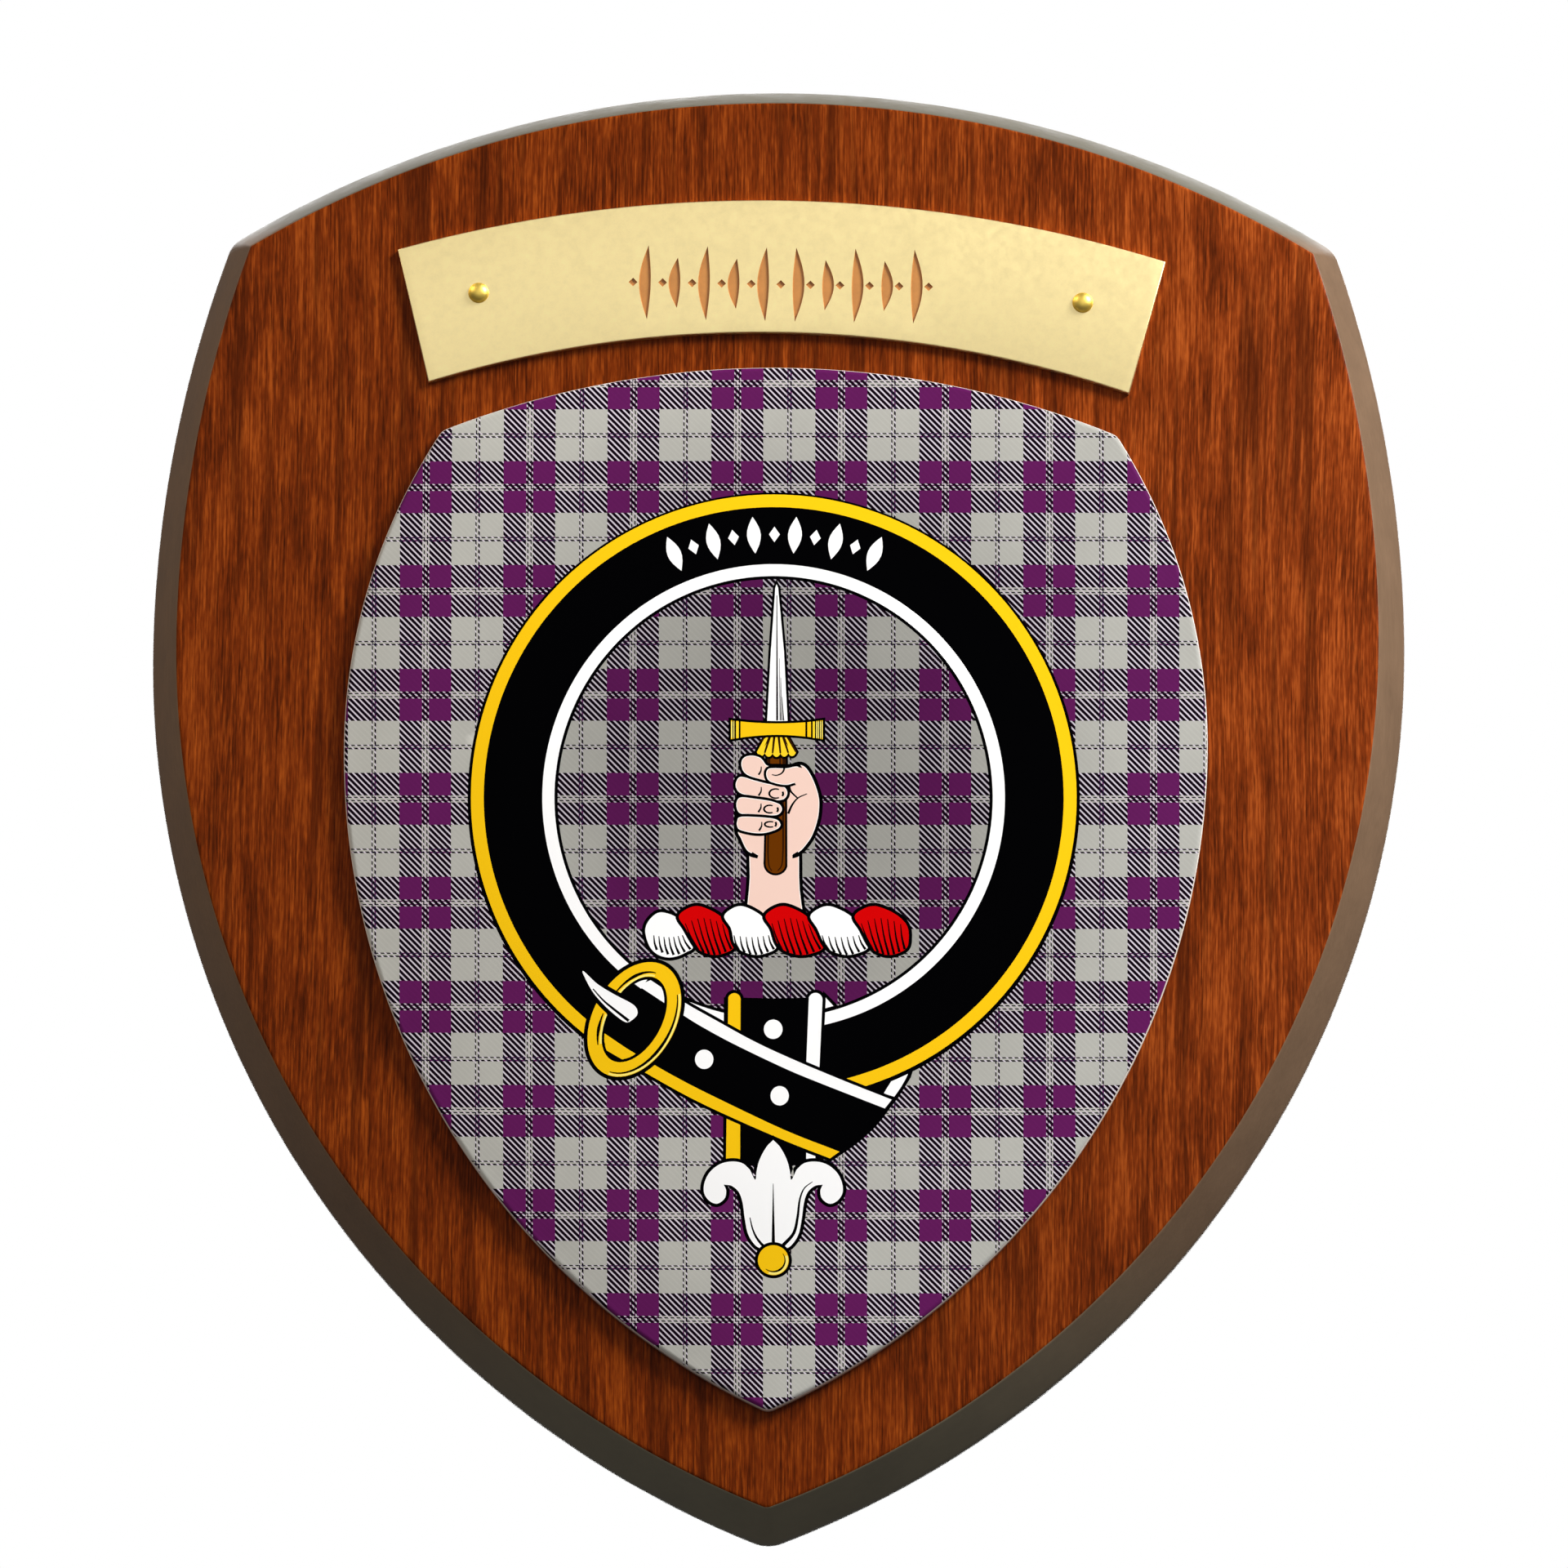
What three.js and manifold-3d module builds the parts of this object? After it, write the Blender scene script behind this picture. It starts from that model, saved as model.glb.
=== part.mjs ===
// A wall plaque in the form of a heraldic shield: a bevelled wooden board that carries a domed inner
// shield and, above it, a curved brass nameplate held by two dome-headed pins.
//
// Lengths are in millimetres. Z is up, X is to the right as the plaque is seen from the front, and the
// front faces -Y. The back lies flat in the plane Y = 0, and the origin is the centre of the back.

import * as THREE from 'three';
import { mergeVertices } from 'three/addons/utils/BufferGeometryUtils.js';
import Module from 'manifold-3d';

const wasm = await Module();
wasm.setup();

// Board: its overall size, and the arcs of its outline
const BOARD_WIDTH = 254;
const BOARD_HEIGHT = 300;
const BOARD_THICKNESS = 16;
const BOARD_WIDEST_HEIGHT = 33; // above the origin
const BOARD_TOP_RADIUS = 210;
const BOARD_SIDE_RADIUS = 254; // of the sides above the widest height
const BOARD_CORNER_RADIUS = 6;
const BOARD_TIP_RADIUS = 8;
const BEVEL_INSET = 5.5; // how far the face lies inside the outline
const BEVEL_DEPTH = 13;

// Keyhole slot in the back, for the head and shank of a wall screw
const KEYHOLE_BELOW_TOP = 62; // from the top of the board to the middle of the entry hole
const KEYHOLE_ENTRY_DIAMETER = 10;
const KEYHOLE_NECK_WIDTH = 5;
const KEYHOLE_LENGTH = 13; // from the middle of the entry to the middle of the slot's round end
const KEYHOLE_LIP = 3;
const KEYHOLE_DEPTH = 8;

// Inner shield: its place inside the board's outline, the arcs of its own outline, and its dome
const SHIELD_SIDE_MARGIN = 40; // from the side of the board
const SHIELD_TIP_MARGIN = 24.8; // from the tip of the board
const SHIELD_TOP_GAP = 7.5; // below the nameplate
const SHIELD_WIDEST_DROP = 22.7; // below the board's widest height
const SHIELD_TOP_RADIUS = 178;
const SHIELD_SIDE_RADIUS = 121;
const SHIELD_CORNER_RADIUS = 3.6;
const SHIELD_TIP_RADIUS = 3;
const SHIELD_EDGE_HEIGHT = 2.8;
const SHIELD_EDGE_RADIUS = 1.1;
const SHIELD_DOME_RISE = 4.8; // above the edge

// Nameplate: a flat band with a curved top and bottom edge, turned a little on its pins
const PLATE_TOP_MARGIN = 26.4; // from the top of the board
const PLATE_END_MARGIN = 49; // from the side of the board to the plate's upper corner
const PLATE_END_TAPER = 7; // how far each lower corner lies inside the upper one
const PLATE_HEIGHT = 27.6; // at the middle
const PLATE_TOP_RADIUS = 269;
const PLATE_BOTTOM_RADIUS = 225;
const PLATE_THICKNESS = 1.5;
const PLATE_TURN_DEGREES = 0.55; // clockwise from the front

// Marks cut into the nameplate: a row of leaf-shaped pen strokes with lozenges between them
const MARK_PITCH = 6;
const MARKS_EACH_SIDE = 5;
const MARK_LONG = 15.5;
const MARK_SHORT = 10.5;
const MARK_WIDTH = 2.4;
const MARK_CURVE = 0.6; // how far the middle of a stroke bows out from its ends
const MARK_DEPTH = 0.35;
const MARK_MIDDLE_DROP = 3.8; // below the middle of the plate
const LOZENGE_SIZE = 1.8;

// Pins, each with a domed head on the plate and a shank that goes through it into the board
const PIN_END_MARGIN = 16.7; // from the plate's upper corner
const PIN_RISE = 1.2; // above the middle of the plate's height there
const PIN_HEAD_DIAMETER = 4.2;
const PIN_HEAD_HEIGHT = 1.4;
const PIN_SHANK_DIAMETER = 1.6;
const PIN_SHANK_LENGTH = 9;
const PIN_CLEARANCE = 0.15; // around the shank, and past its end

// How finely the round forms are divided
const TOP_STEPS = 14;
const CORNER_STEPS = 6;
const SIDE_STEPS = 12;
const LOWER_STEPS = 22;
const TIP_STEPS = 4;
const EDGE_STEPS = 3;
const DOME_STEPS = 9;
const PLATE_STEPS = 28;
const ROUND_SIDES = 24;
const STROKE_STEPS = 6;
const CROWN_SEARCH_STEPS = 60;

const QUARTER_TURN = Math.PI / 2;
const CUT_OVERRUN = 1; // how far a cutter reaches past the face that it enters
const SHARPEST_RADIUS = 0.3; // of a corner, however far its outline is inset

// Solids and cuts

function solid(geometry) {
  const bare = geometry.index ? geometry : geometry.clone();
  bare.deleteAttribute('normal');
  bare.deleteAttribute('uv');
  const merged = mergeVertices(bare, 1e-4);
  const vertProperties = new Float32Array(merged.attributes.position.array);
  const triVerts = new Uint32Array(merged.index.array);
  return new wasm.Manifold(new wasm.Mesh({ numProp: 3, vertProperties, triVerts }));
}

function geometryOf(manifold) {
  const mesh = manifold.getMesh();
  const geometry = new THREE.BufferGeometry();
  geometry.setAttribute('position', new THREE.BufferAttribute(mesh.vertProperties, 3));
  geometry.setIndex(new THREE.BufferAttribute(mesh.triVerts, 1));
  geometry.computeVertexNormals();
  return geometry;
}

function cut(geometry, cutters) {
  const result = cutters.reduce((body, cutter) => body.subtract(solid(cutter)), solid(geometry));
  return geometryOf(result);
}

// Extrudes a flat shape, drawn as x and z, from the plane y = back towards the front.
function slab(shape, back, depth, curveSegments = ROUND_SIDES) {
  const geometry = new THREE.ExtrudeGeometry(shape, { depth, bevelEnabled: false, curveSegments });
  return geometry.rotateX(QUARTER_TURN).translate(0, back, 0);
}

// A round rod along Y between two depths
function rod(radius, x, z, front, back) {
  const geometry = new THREE.CylinderGeometry(radius, radius, back - front, ROUND_SIDES);
  return geometry.translate(x, (front + back) / 2, z);
}

// Joins closed loops of points, one after the other from the back to the front, into one closed skin,
// and fills the first and the last loop.
function loft(loops) {
  const count = loops[0].length;
  const index = [];
  for (let ring = 0; ring + 1 < loops.length; ring++) {
    for (let i = 0; i < count; i++) {
      const a = ring * count + i;
      const b = ring * count + (i + 1) % count;
      index.push(a, a + count, b, b, a + count, b + count);
    }
  }
  const flat = (loop) => loop.map((point) => new THREE.Vector2(point.x, point.z));
  const last = (loops.length - 1) * count;
  for (const [a, b, c] of THREE.ShapeUtils.triangulateShape(flat(loops[0]), [])) {
    index.push(a, c, b);
  }
  for (const [a, b, c] of THREE.ShapeUtils.triangulateShape(flat(loops[loops.length - 1]), [])) {
    index.push(last + a, last + b, last + c);
  }
  const geometry = new THREE.BufferGeometry().setFromPoints(loops.flat());
  geometry.setIndex(index);
  geometry.computeVertexNormals();
  return geometry;
}

// Shield outlines

// The centre of a circle of the given radius that touches two larger circles from inside, at upper right
function filletCentre(first, second, radius) {
  const a = first.radius - radius;
  const b = second.radius - radius;
  const apart = new THREE.Vector2().subVectors(second.centre, first.centre);
  const distance = apart.length();
  const along = (a * a - b * b + distance * distance) / (2 * distance);
  const across = Math.sqrt(a * a - along * along);
  const unit = apart.divideScalar(distance);
  const normal = new THREE.Vector2(unit.y, -unit.x);
  const sign = normal.x + normal.y > 0 ? 1 : -1;
  return first.centre.clone().addScaledVector(unit, along).addScaledVector(normal, sign * across);
}

// Points along an arc, without its last point
function arcPoints(circle, from, to, steps) {
  const points = [];
  for (let i = 0; i < steps; i++) {
    const angle = from + (to - from) * i / steps;
    const reach = new THREE.Vector2(Math.cos(angle), Math.sin(angle)).multiplyScalar(circle.radius);
    points.push(circle.centre.clone().add(reach));
  }
  return points;
}

function directionTo(circle, point) {
  return Math.atan2(point.y - circle.centre.y, point.x - circle.centre.x);
}

// The circles that a shield's outline is made of, each drawn in by the inset: the arched top, two arcs
// on the right side that meet upright at the widest height, the rounded corner and the rounded tip. The
// left side mirrors the right.
function shieldCircles(shield, inset) {
  const half = shield.width / 2;
  const fall = shield.widest - shield.bottom - shield.tipRadius;
  const lowerRadius = (half * half + fall * fall - shield.tipRadius ** 2) / (2 * (half - shield.tipRadius));
  const circle = (x, z, radius) => ({ centre: new THREE.Vector2(x, z), radius });
  const top = circle(0, shield.top - shield.topRadius, shield.topRadius - inset);
  const side = circle(half - shield.sideRadius, shield.widest, shield.sideRadius - inset);
  const lower = circle(half - lowerRadius, shield.widest, lowerRadius - inset);
  const cornerRadius = Math.max(shield.cornerRadius - inset, SHARPEST_RADIUS);
  const cornerCentre = filletCentre(top, side, cornerRadius);
  const corner = circle(cornerCentre.x, cornerCentre.y, cornerRadius);
  const tipRadius = Math.max(shield.tipRadius - inset, SHARPEST_RADIUS);
  const tipFall = Math.sqrt((lower.radius - tipRadius) ** 2 - lower.centre.x ** 2);
  const tip = circle(0, lower.centre.y - tipFall, tipRadius);
  return { top, side, lower, corner, tip };
}

// The outline of a shield, as flat points clockwise from the middle of its top
function shieldOutline(shield, inset) {
  const { top, side, lower, corner, tip } = shieldCircles(shield, inset);
  const topEnd = directionTo(top, corner.centre);
  const sideStart = directionTo(side, corner.centre);
  const lowerEnd = directionTo(lower, tip.centre);
  const right = [
    ...arcPoints(top, QUARTER_TURN, topEnd, TOP_STEPS),
    ...arcPoints(corner, topEnd, sideStart, CORNER_STEPS),
    ...arcPoints(side, sideStart, 0, SIDE_STEPS),
    ...arcPoints(lower, 0, lowerEnd, LOWER_STEPS),
    ...arcPoints(tip, lowerEnd, -QUARTER_TURN, TIP_STEPS),
    new THREE.Vector2(0, tip.centre.y - tip.radius),
  ];
  const left = right.slice(1, -1).reverse().map((point) => new THREE.Vector2(-point.x, point.y));
  return [...right, ...left];
}

// How deep inside a shield's edges a point lies. Close to an edge this is the distance to it. Further in
// the distances to the top and to both sides are blended, so that no crease runs in from a corner.
function depthInside(circles, x, z) {
  const flank = z > circles.side.centre.y ? circles.side : circles.lower;
  const within = (circle, px) => circle.radius - circle.centre.distanceTo(new THREE.Vector2(px, z));
  const distances = [within(circles.top, x), within(flank, x), within(flank, -x)];
  if (Math.min(...distances) <= 0) {
    return 0;
  }
  return 1 / Math.sqrt(distances.reduce((sum, distance) => sum + 1 / distance ** 2, 0));
}

function atDepth(outline, y) {
  return outline.map((point) => new THREE.Vector3(point.x, y, point.y));
}

// Derived places

const boardTop = BOARD_HEIGHT / 2;
const faceY = -BOARD_THICKNESS;
const plateTop = boardTop - PLATE_TOP_MARGIN;
const plateMiddle = plateTop - PLATE_HEIGHT / 2;
const plateHalfTop = BOARD_WIDTH / 2 - PLATE_END_MARGIN;
const plateHalfBottom = plateHalfTop - PLATE_END_TAPER;
const plateTurn = THREE.MathUtils.degToRad(PLATE_TURN_DEGREES);
const pinX = plateHalfTop - PIN_END_MARGIN;

// Height of an arched edge above the plate's middle, at a distance x from its crown
function archHeight(crown, radius, x) {
  return crown - radius + Math.sqrt(radius * radius - x * x);
}

const pinZ = PIN_RISE
  + (archHeight(PLATE_HEIGHT / 2, PLATE_TOP_RADIUS, pinX)
  + archHeight(-PLATE_HEIGHT / 2, PLATE_BOTTOM_RADIUS, pinX)) / 2;

// Where a point of the plate's own frame lies on the board, with the plate turned about its middle
function onBoard(x, z) {
  const turned = new THREE.Vector2(x, z).rotateAround(new THREE.Vector2(), -plateTurn);
  return new THREE.Vector2(turned.x, turned.y + plateMiddle);
}

const boardShield = {
  width: BOARD_WIDTH,
  top: boardTop,
  bottom: -BOARD_HEIGHT / 2,
  widest: BOARD_WIDEST_HEIGHT,
  topRadius: BOARD_TOP_RADIUS,
  sideRadius: BOARD_SIDE_RADIUS,
  cornerRadius: BOARD_CORNER_RADIUS,
  tipRadius: BOARD_TIP_RADIUS,
};

const innerShield = {
  width: BOARD_WIDTH - 2 * SHIELD_SIDE_MARGIN,
  top: plateTop - PLATE_HEIGHT - SHIELD_TOP_GAP,
  bottom: -BOARD_HEIGHT / 2 + SHIELD_TIP_MARGIN,
  widest: BOARD_WIDEST_HEIGHT - SHIELD_WIDEST_DROP,
  topRadius: SHIELD_TOP_RADIUS,
  sideRadius: SHIELD_SIDE_RADIUS,
  cornerRadius: SHIELD_CORNER_RADIUS,
  tipRadius: SHIELD_TIP_RADIUS,
};

// Board

// An upright slot with round ends, from the middle of the entry hole to the end of the keyhole
function slotShape(width, bottomZ, length) {
  const radius = width / 2;
  const shape = new THREE.Shape();
  shape.absarc(0, bottomZ + length, radius, 0, Math.PI, false);
  shape.absarc(0, bottomZ, radius, Math.PI, 2 * Math.PI, false);
  return shape;
}

// The keyhole: an entry hole, a neck as wide as a screw's shank, and room for its head behind the lip
function keyholeCutters() {
  const entryZ = boardTop - KEYHOLE_BELOW_TOP;
  const entryRadius = KEYHOLE_ENTRY_DIAMETER / 2;
  const neck = slotShape(KEYHOLE_NECK_WIDTH, entryZ, KEYHOLE_LENGTH);
  const room = slotShape(KEYHOLE_ENTRY_DIAMETER, entryZ, KEYHOLE_LENGTH);
  return [
    rod(entryRadius, 0, entryZ, -KEYHOLE_DEPTH, CUT_OVERRUN),
    slab(neck, CUT_OVERRUN, KEYHOLE_LIP + 2 * CUT_OVERRUN),
    slab(room, -KEYHOLE_LIP, KEYHOLE_DEPTH - KEYHOLE_LIP),
  ];
}

// The two holes in the face that take the shanks of the pins
function pilotCutters() {
  const radius = PIN_SHANK_DIAMETER / 2 + PIN_CLEARANCE;
  const depth = PIN_SHANK_LENGTH - PLATE_THICKNESS + PIN_CLEARANCE;
  return [-pinX, pinX].map((x) => {
    const place = onBoard(x, pinZ);
    return rod(radius, place.x, place.y, faceY - CUT_OVERRUN, faceY + depth);
  });
}

// The board has an upright land at the back, one steep bevel all round, and a flat face.
function boardGeometry() {
  const edge = shieldOutline(boardShield, 0);
  const face = shieldOutline(boardShield, BEVEL_INSET);
  const blank = loft([atDepth(edge, 0), atDepth(edge, faceY + BEVEL_DEPTH), atDepth(face, faceY)]);
  return cut(blank, [...keyholeCutters(), ...pilotCutters()]);
}

// Inner shield

// The height on the middle line where the inner shield is deepest inside its edges, and that depth
function deepestPoint(circles) {
  const low = circles.tip.centre.y;
  const high = circles.top.centre.y + circles.top.radius;
  const deepest = { z: low, depth: 0 };
  for (let i = 1; i < CROWN_SEARCH_STEPS; i++) {
    const z = low + (high - low) * i / CROWN_SEARCH_STEPS;
    const depth = depthInside(circles, 0, z);
    if (depth > deepest.depth) {
      deepest.z = z;
      deepest.depth = depth;
    }
  }
  return deepest;
}

// A flat back, an upright edge that rounds over, and a dome. The dome's rings are the rounded edge's
// outline drawn towards the crown. Its height rises with the depth inside the edges, steepest at the
// edge and level at the crown.
function innerShieldGeometry() {
  const loops = [atDepth(shieldOutline(innerShield, 0), faceY)];
  for (let i = 0; i <= EDGE_STEPS; i++) {
    const angle = QUARTER_TURN * i / EDGE_STEPS;
    const inset = SHIELD_EDGE_RADIUS * (1 - Math.cos(angle));
    const height = SHIELD_EDGE_HEIGHT - SHIELD_EDGE_RADIUS * (1 - Math.sin(angle));
    loops.push(atDepth(shieldOutline(innerShield, inset), faceY - height));
  }
  const rim = loops[loops.length - 1];
  const circles = shieldCircles(innerShield, SHIELD_EDGE_RADIUS);
  const deepest = deepestPoint(circles);
  for (let i = 1; i < DOME_STEPS; i++) {
    const size = 1 - i / DOME_STEPS;
    loops.push(rim.map((point) => {
      const x = point.x * size;
      const z = deepest.z + (point.z - deepest.z) * size;
      const share = Math.min(depthInside(circles, x, z) / deepest.depth, 1);
      return new THREE.Vector3(x, faceY - SHIELD_EDGE_HEIGHT - SHIELD_DOME_RISE * share * (2 - share), z);
    }));
  }
  return loft(loops);
}

// Nameplate, drawn in its own frame with its middle at the origin and its back in the plane y = 0

function plateShape() {
  const topCentre = PLATE_HEIGHT / 2 - PLATE_TOP_RADIUS;
  const bottomCentre = -PLATE_HEIGHT / 2 - PLATE_BOTTOM_RADIUS;
  const topReach = Math.asin(plateHalfTop / PLATE_TOP_RADIUS);
  const bottomReach = Math.asin(plateHalfBottom / PLATE_BOTTOM_RADIUS);
  const shape = new THREE.Shape();
  shape.absarc(0, topCentre, PLATE_TOP_RADIUS, QUARTER_TURN + topReach, QUARTER_TURN - topReach, true);
  shape.absarc(0, bottomCentre, PLATE_BOTTOM_RADIUS,
    QUARTER_TURN - bottomReach, QUARTER_TURN + bottomReach, false);
  shape.closePath();
  for (const x of [-pinX, pinX]) {
    const hole = new THREE.Path();
    hole.absarc(x, pinZ, PIN_SHANK_DIAMETER / 2 + PIN_CLEARANCE, 0, 2 * Math.PI, false);
    shape.holes.push(hole);
  }
  return shape;
}

// One pen stroke, pointed at both ends. Its middle line bows sideways, and it is widest at the middle.
function strokeShape(x, z, length, bow) {
  const side = (sign) => {
    const points = [];
    for (let i = 0; i <= STROKE_STEPS; i++) {
      const t = i / STROKE_STEPS;
      const swell = Math.sin(Math.PI * t);
      points.push(new THREE.Vector2(
        x + bow * swell + sign * MARK_WIDTH / 2 * swell,
        z + length * (t - 0.5),
      ));
    }
    return points;
  };
  const rising = side(1);
  const falling = side(-1).slice(1, -1).reverse();
  return new THREE.Shape([...rising, ...falling]);
}

function lozengeShape(x, z, size) {
  const reach = size / 2;
  return new THREE.Shape([
    new THREE.Vector2(x + reach, z),
    new THREE.Vector2(x, z + reach),
    new THREE.Vector2(x - reach, z),
    new THREE.Vector2(x, z - reach),
  ]);
}

// The row is the same on both sides of its middle: strokes bow away from it, long and short by turns,
// and a lozenge stands between each two.
function markShapes() {
  const z = -MARK_MIDDLE_DROP;
  const shapes = [lozengeShape(0, z, LOZENGE_SIZE)];
  for (const side of [-1, 1]) {
    for (let i = 0; i < MARKS_EACH_SIDE; i++) {
      const x = side * MARK_PITCH * (i + 0.5);
      const length = i % 2 ? MARK_SHORT : MARK_LONG;
      shapes.push(strokeShape(x, z, length, side * MARK_CURVE));
      shapes.push(lozengeShape(side * MARK_PITCH * (i + 1), z, LOZENGE_SIZE));
    }
  }
  return shapes;
}

function plateGeometry() {
  const blank = slab(plateShape(), 0, PLATE_THICKNESS, PLATE_STEPS);
  const floor = MARK_DEPTH - PLATE_THICKNESS;
  const cutters = markShapes().map((shape) => slab(shape, floor, MARK_DEPTH + CUT_OVERRUN));
  return cut(blank, cutters);
}

// Pins, drawn about the Y axis with the underside of the head in the plane y = 0

function pinGeometry() {
  const headRadius = PIN_HEAD_DIAMETER / 2;
  const shankRadius = PIN_SHANK_DIAMETER / 2;
  const profile = [
    new THREE.Vector2(0, PIN_SHANK_LENGTH),
    new THREE.Vector2(shankRadius, PIN_SHANK_LENGTH - PIN_SHANK_DIAMETER),
    new THREE.Vector2(shankRadius, 0),
  ];
  for (let i = 0; i <= EDGE_STEPS * 2; i++) {
    const angle = QUARTER_TURN * i / (EDGE_STEPS * 2);
    profile.push(new THREE.Vector2(headRadius * Math.cos(angle), -PIN_HEAD_HEIGHT * Math.sin(angle)));
  }
  profile[profile.length - 1].setX(0);
  return new THREE.LatheGeometry(profile.reverse(), ROUND_SIDES);
}

// Assembly

function piece(name, geometry, color, roughness, metalness) {
  const mesh = new THREE.Mesh(geometry, new THREE.MeshStandardMaterial({ color, roughness, metalness }));
  mesh.name = name;
  return mesh;
}

const group = new THREE.Group();
group.add(piece('board', boardGeometry(), '#7c3212', 0.42, 0));
group.add(piece('inner_shield', innerShieldGeometry(), '#6a1a62', 0.45, 0));

const nameplateGroup = new THREE.Group();
nameplateGroup.position.set(0, faceY, plateMiddle);
nameplateGroup.rotation.y = plateTurn;
nameplateGroup.add(piece('nameplate', plateGeometry(), '#dcbf7a', 0.3, 1));
for (const [name, x] of [['pin_left', -pinX], ['pin_right', pinX]]) {
  const pin = piece(name, pinGeometry(), '#e6c983', 0.16, 1);
  pin.position.set(x, -PLATE_THICKNESS, pinZ);
  nameplateGroup.add(pin);
}
group.add(nameplateGroup);

export default group;
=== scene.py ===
import math

import bmesh
import bpy
import numpy as np
from mathutils import Matrix, Vector
from mathutils.geometry import delaunay_2d_cdt


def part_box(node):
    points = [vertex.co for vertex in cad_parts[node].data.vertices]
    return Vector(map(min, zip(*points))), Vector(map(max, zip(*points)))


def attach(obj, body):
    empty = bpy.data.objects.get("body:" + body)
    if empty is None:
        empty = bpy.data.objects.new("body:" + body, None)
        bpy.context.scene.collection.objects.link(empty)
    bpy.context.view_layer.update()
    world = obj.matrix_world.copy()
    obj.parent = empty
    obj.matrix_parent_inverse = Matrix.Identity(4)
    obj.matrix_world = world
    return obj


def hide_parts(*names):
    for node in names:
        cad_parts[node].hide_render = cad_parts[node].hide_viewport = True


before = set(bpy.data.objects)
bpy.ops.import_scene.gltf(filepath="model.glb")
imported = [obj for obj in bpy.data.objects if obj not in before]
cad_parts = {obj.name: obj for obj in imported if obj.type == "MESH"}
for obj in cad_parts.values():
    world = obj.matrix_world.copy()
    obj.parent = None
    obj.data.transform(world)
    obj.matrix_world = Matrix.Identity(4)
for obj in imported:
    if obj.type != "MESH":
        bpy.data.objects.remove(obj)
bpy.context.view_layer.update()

# Lengths are in millimetres until a mesh is made. X is to the right, Z is up, and the front faces -Y.
MM = 0.001


def node_box(name):
    """The lowest and the highest corner of a node of the frame, in millimetres."""
    low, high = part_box(name)
    return np.array(low) / MM, np.array(high) / MM


# Board
BOARD_LOW, BOARD_HIGH = node_box("board")
FACE_Y = BOARD_LOW[1]
BOARD = dict(
    width=BOARD_HIGH[0] - BOARD_LOW[0], top=BOARD_HIGH[2], bottom=BOARD_LOW[2], widest=33.0,
    top_radius=210.0, side_radius=254.0, corner_radius=6.0, tip_radius=8.0,
)
BEVEL_INSET = 5.5
LAND_DEPTH = 3.0  # of the upright edge at the back, behind the bevel
BACK_EDGE_SOFTNESS = 0.7
LAND_SOFTNESS = 1.3
FACE_EDGE_SOFTNESS = 0.7
CAP_INSET = 7.0  # where the flat face and the flat back begin

# Keyhole in the back
KEYHOLE_ENTRY_Z = 88.0
KEYHOLE_ENTRY_RADIUS = 5.0
KEYHOLE_NECK_RADIUS = 2.5
KEYHOLE_LENGTH = 13.0
KEYHOLE_LIP = 3.0
KEYHOLE_DEPTH = 8.0
CUT_OVERRUN = 1.0

# Inner shield
SHIELD_LOW, SHIELD_HIGH = node_box("inner_shield")
SHIELD = dict(
    width=SHIELD_HIGH[0] - SHIELD_LOW[0], top=SHIELD_HIGH[2], bottom=SHIELD_LOW[2], widest=10.3,
    top_radius=178.0, side_radius=121.0, corner_radius=3.6, tip_radius=3.0,
)
SHIELD_EDGE_HEIGHT = 2.8
SHIELD_EDGE_RADIUS = 1.1
SHIELD_DOME_RISE = FACE_Y - SHIELD_LOW[1] - SHIELD_EDGE_HEIGHT
DOME_GRID = 2.6  # between the points that carry the dome's curve
NORMAL_STEP = 0.05  # of the slope taken from the dome's formula

# Nameplate, and the pins through it
PLATE_MIDDLE_Z = 109.8
PLATE_HALF_TOP = 78.0
PLATE_HALF_BOTTOM = 71.0
PLATE_HEIGHT = 27.6
PLATE_TOP_RADIUS = 269.0
PLATE_BOTTOM_RADIUS = 225.0
PLATE_THICKNESS = 1.5
PLATE_TURN = math.radians(0.55)  # clockwise from the front
PLATE_EDGE_SOFTNESS = 0.22
MARK_PITCH = 6.0
MARKS_EACH_SIDE = 5
MARK_LONG = 15.5
MARK_SHORT = 10.5
MARK_WIDTH = 2.4
MARK_CURVE = 0.6
MARK_DEPTH = 0.35
MARK_SLOPE = 0.12  # how far a mark's floor lies inside its edge
MARK_Z = -3.8
LOZENGE_SIZE = 1.8
PIN_X = 61.3
PIN_RISE = 1.2
PIN_HEAD_RADIUS = 2.1
PIN_HEAD_HEIGHT = 1.4
PIN_SHANK_RADIUS = 0.8
PIN_SHANK_LENGTH = 9.0

# The print lies a little turned, and spreads a little towards the top.
PRINT_SHIFT = np.array([-0.035, 0.60])
PRINT_TURN = (0.0112, 0.0077)  # of its upright and its level lines
PRINT_HEIGHT_SCALE = 0.9955
PRINT_SPREAD = 6.5e-5
PRINT_LEAN = 0.2085
PRINT_HEIGHT = 5.0  # where the drawing keeps its place


def srgb(red, green, blue):
    """A colour given as 8-bit screen values, in linear light."""
    values = np.array([red, green, blue]) / 255
    linear = np.where(values <= 0.04045, values / 12.92, ((values + 0.055) / 1.055) ** 2.4)
    return (*linear.tolist(), 1.0)


BLACK = srgb(1, 1, 2)
WHITE = srgb(254, 254, 254)
GOLD = srgb(249, 198, 19)
BRIGHT_GOLD = srgb(250, 210, 40)
PALE_GOLD = srgb(255, 236, 120)
RED = srgb(210, 3, 5)
SKIN = srgb(241, 207, 193)
PALE_SKIN = srgb(252, 244, 240)
GRIP_BROWN = srgb(102, 50, 2)
DARK_BROWN = srgb(44, 20, 4)
TARTAN = (0.0, 0.0, 0.0, 0.0)  # no ink of the badge: the tartan shows

# Outlines

ARC_STEPS = dict(top=56, corner=12, side=36, lower=84, tip=10)
LEAST_RADIUS = 0.3  # that an inset leaves of a corner


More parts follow.
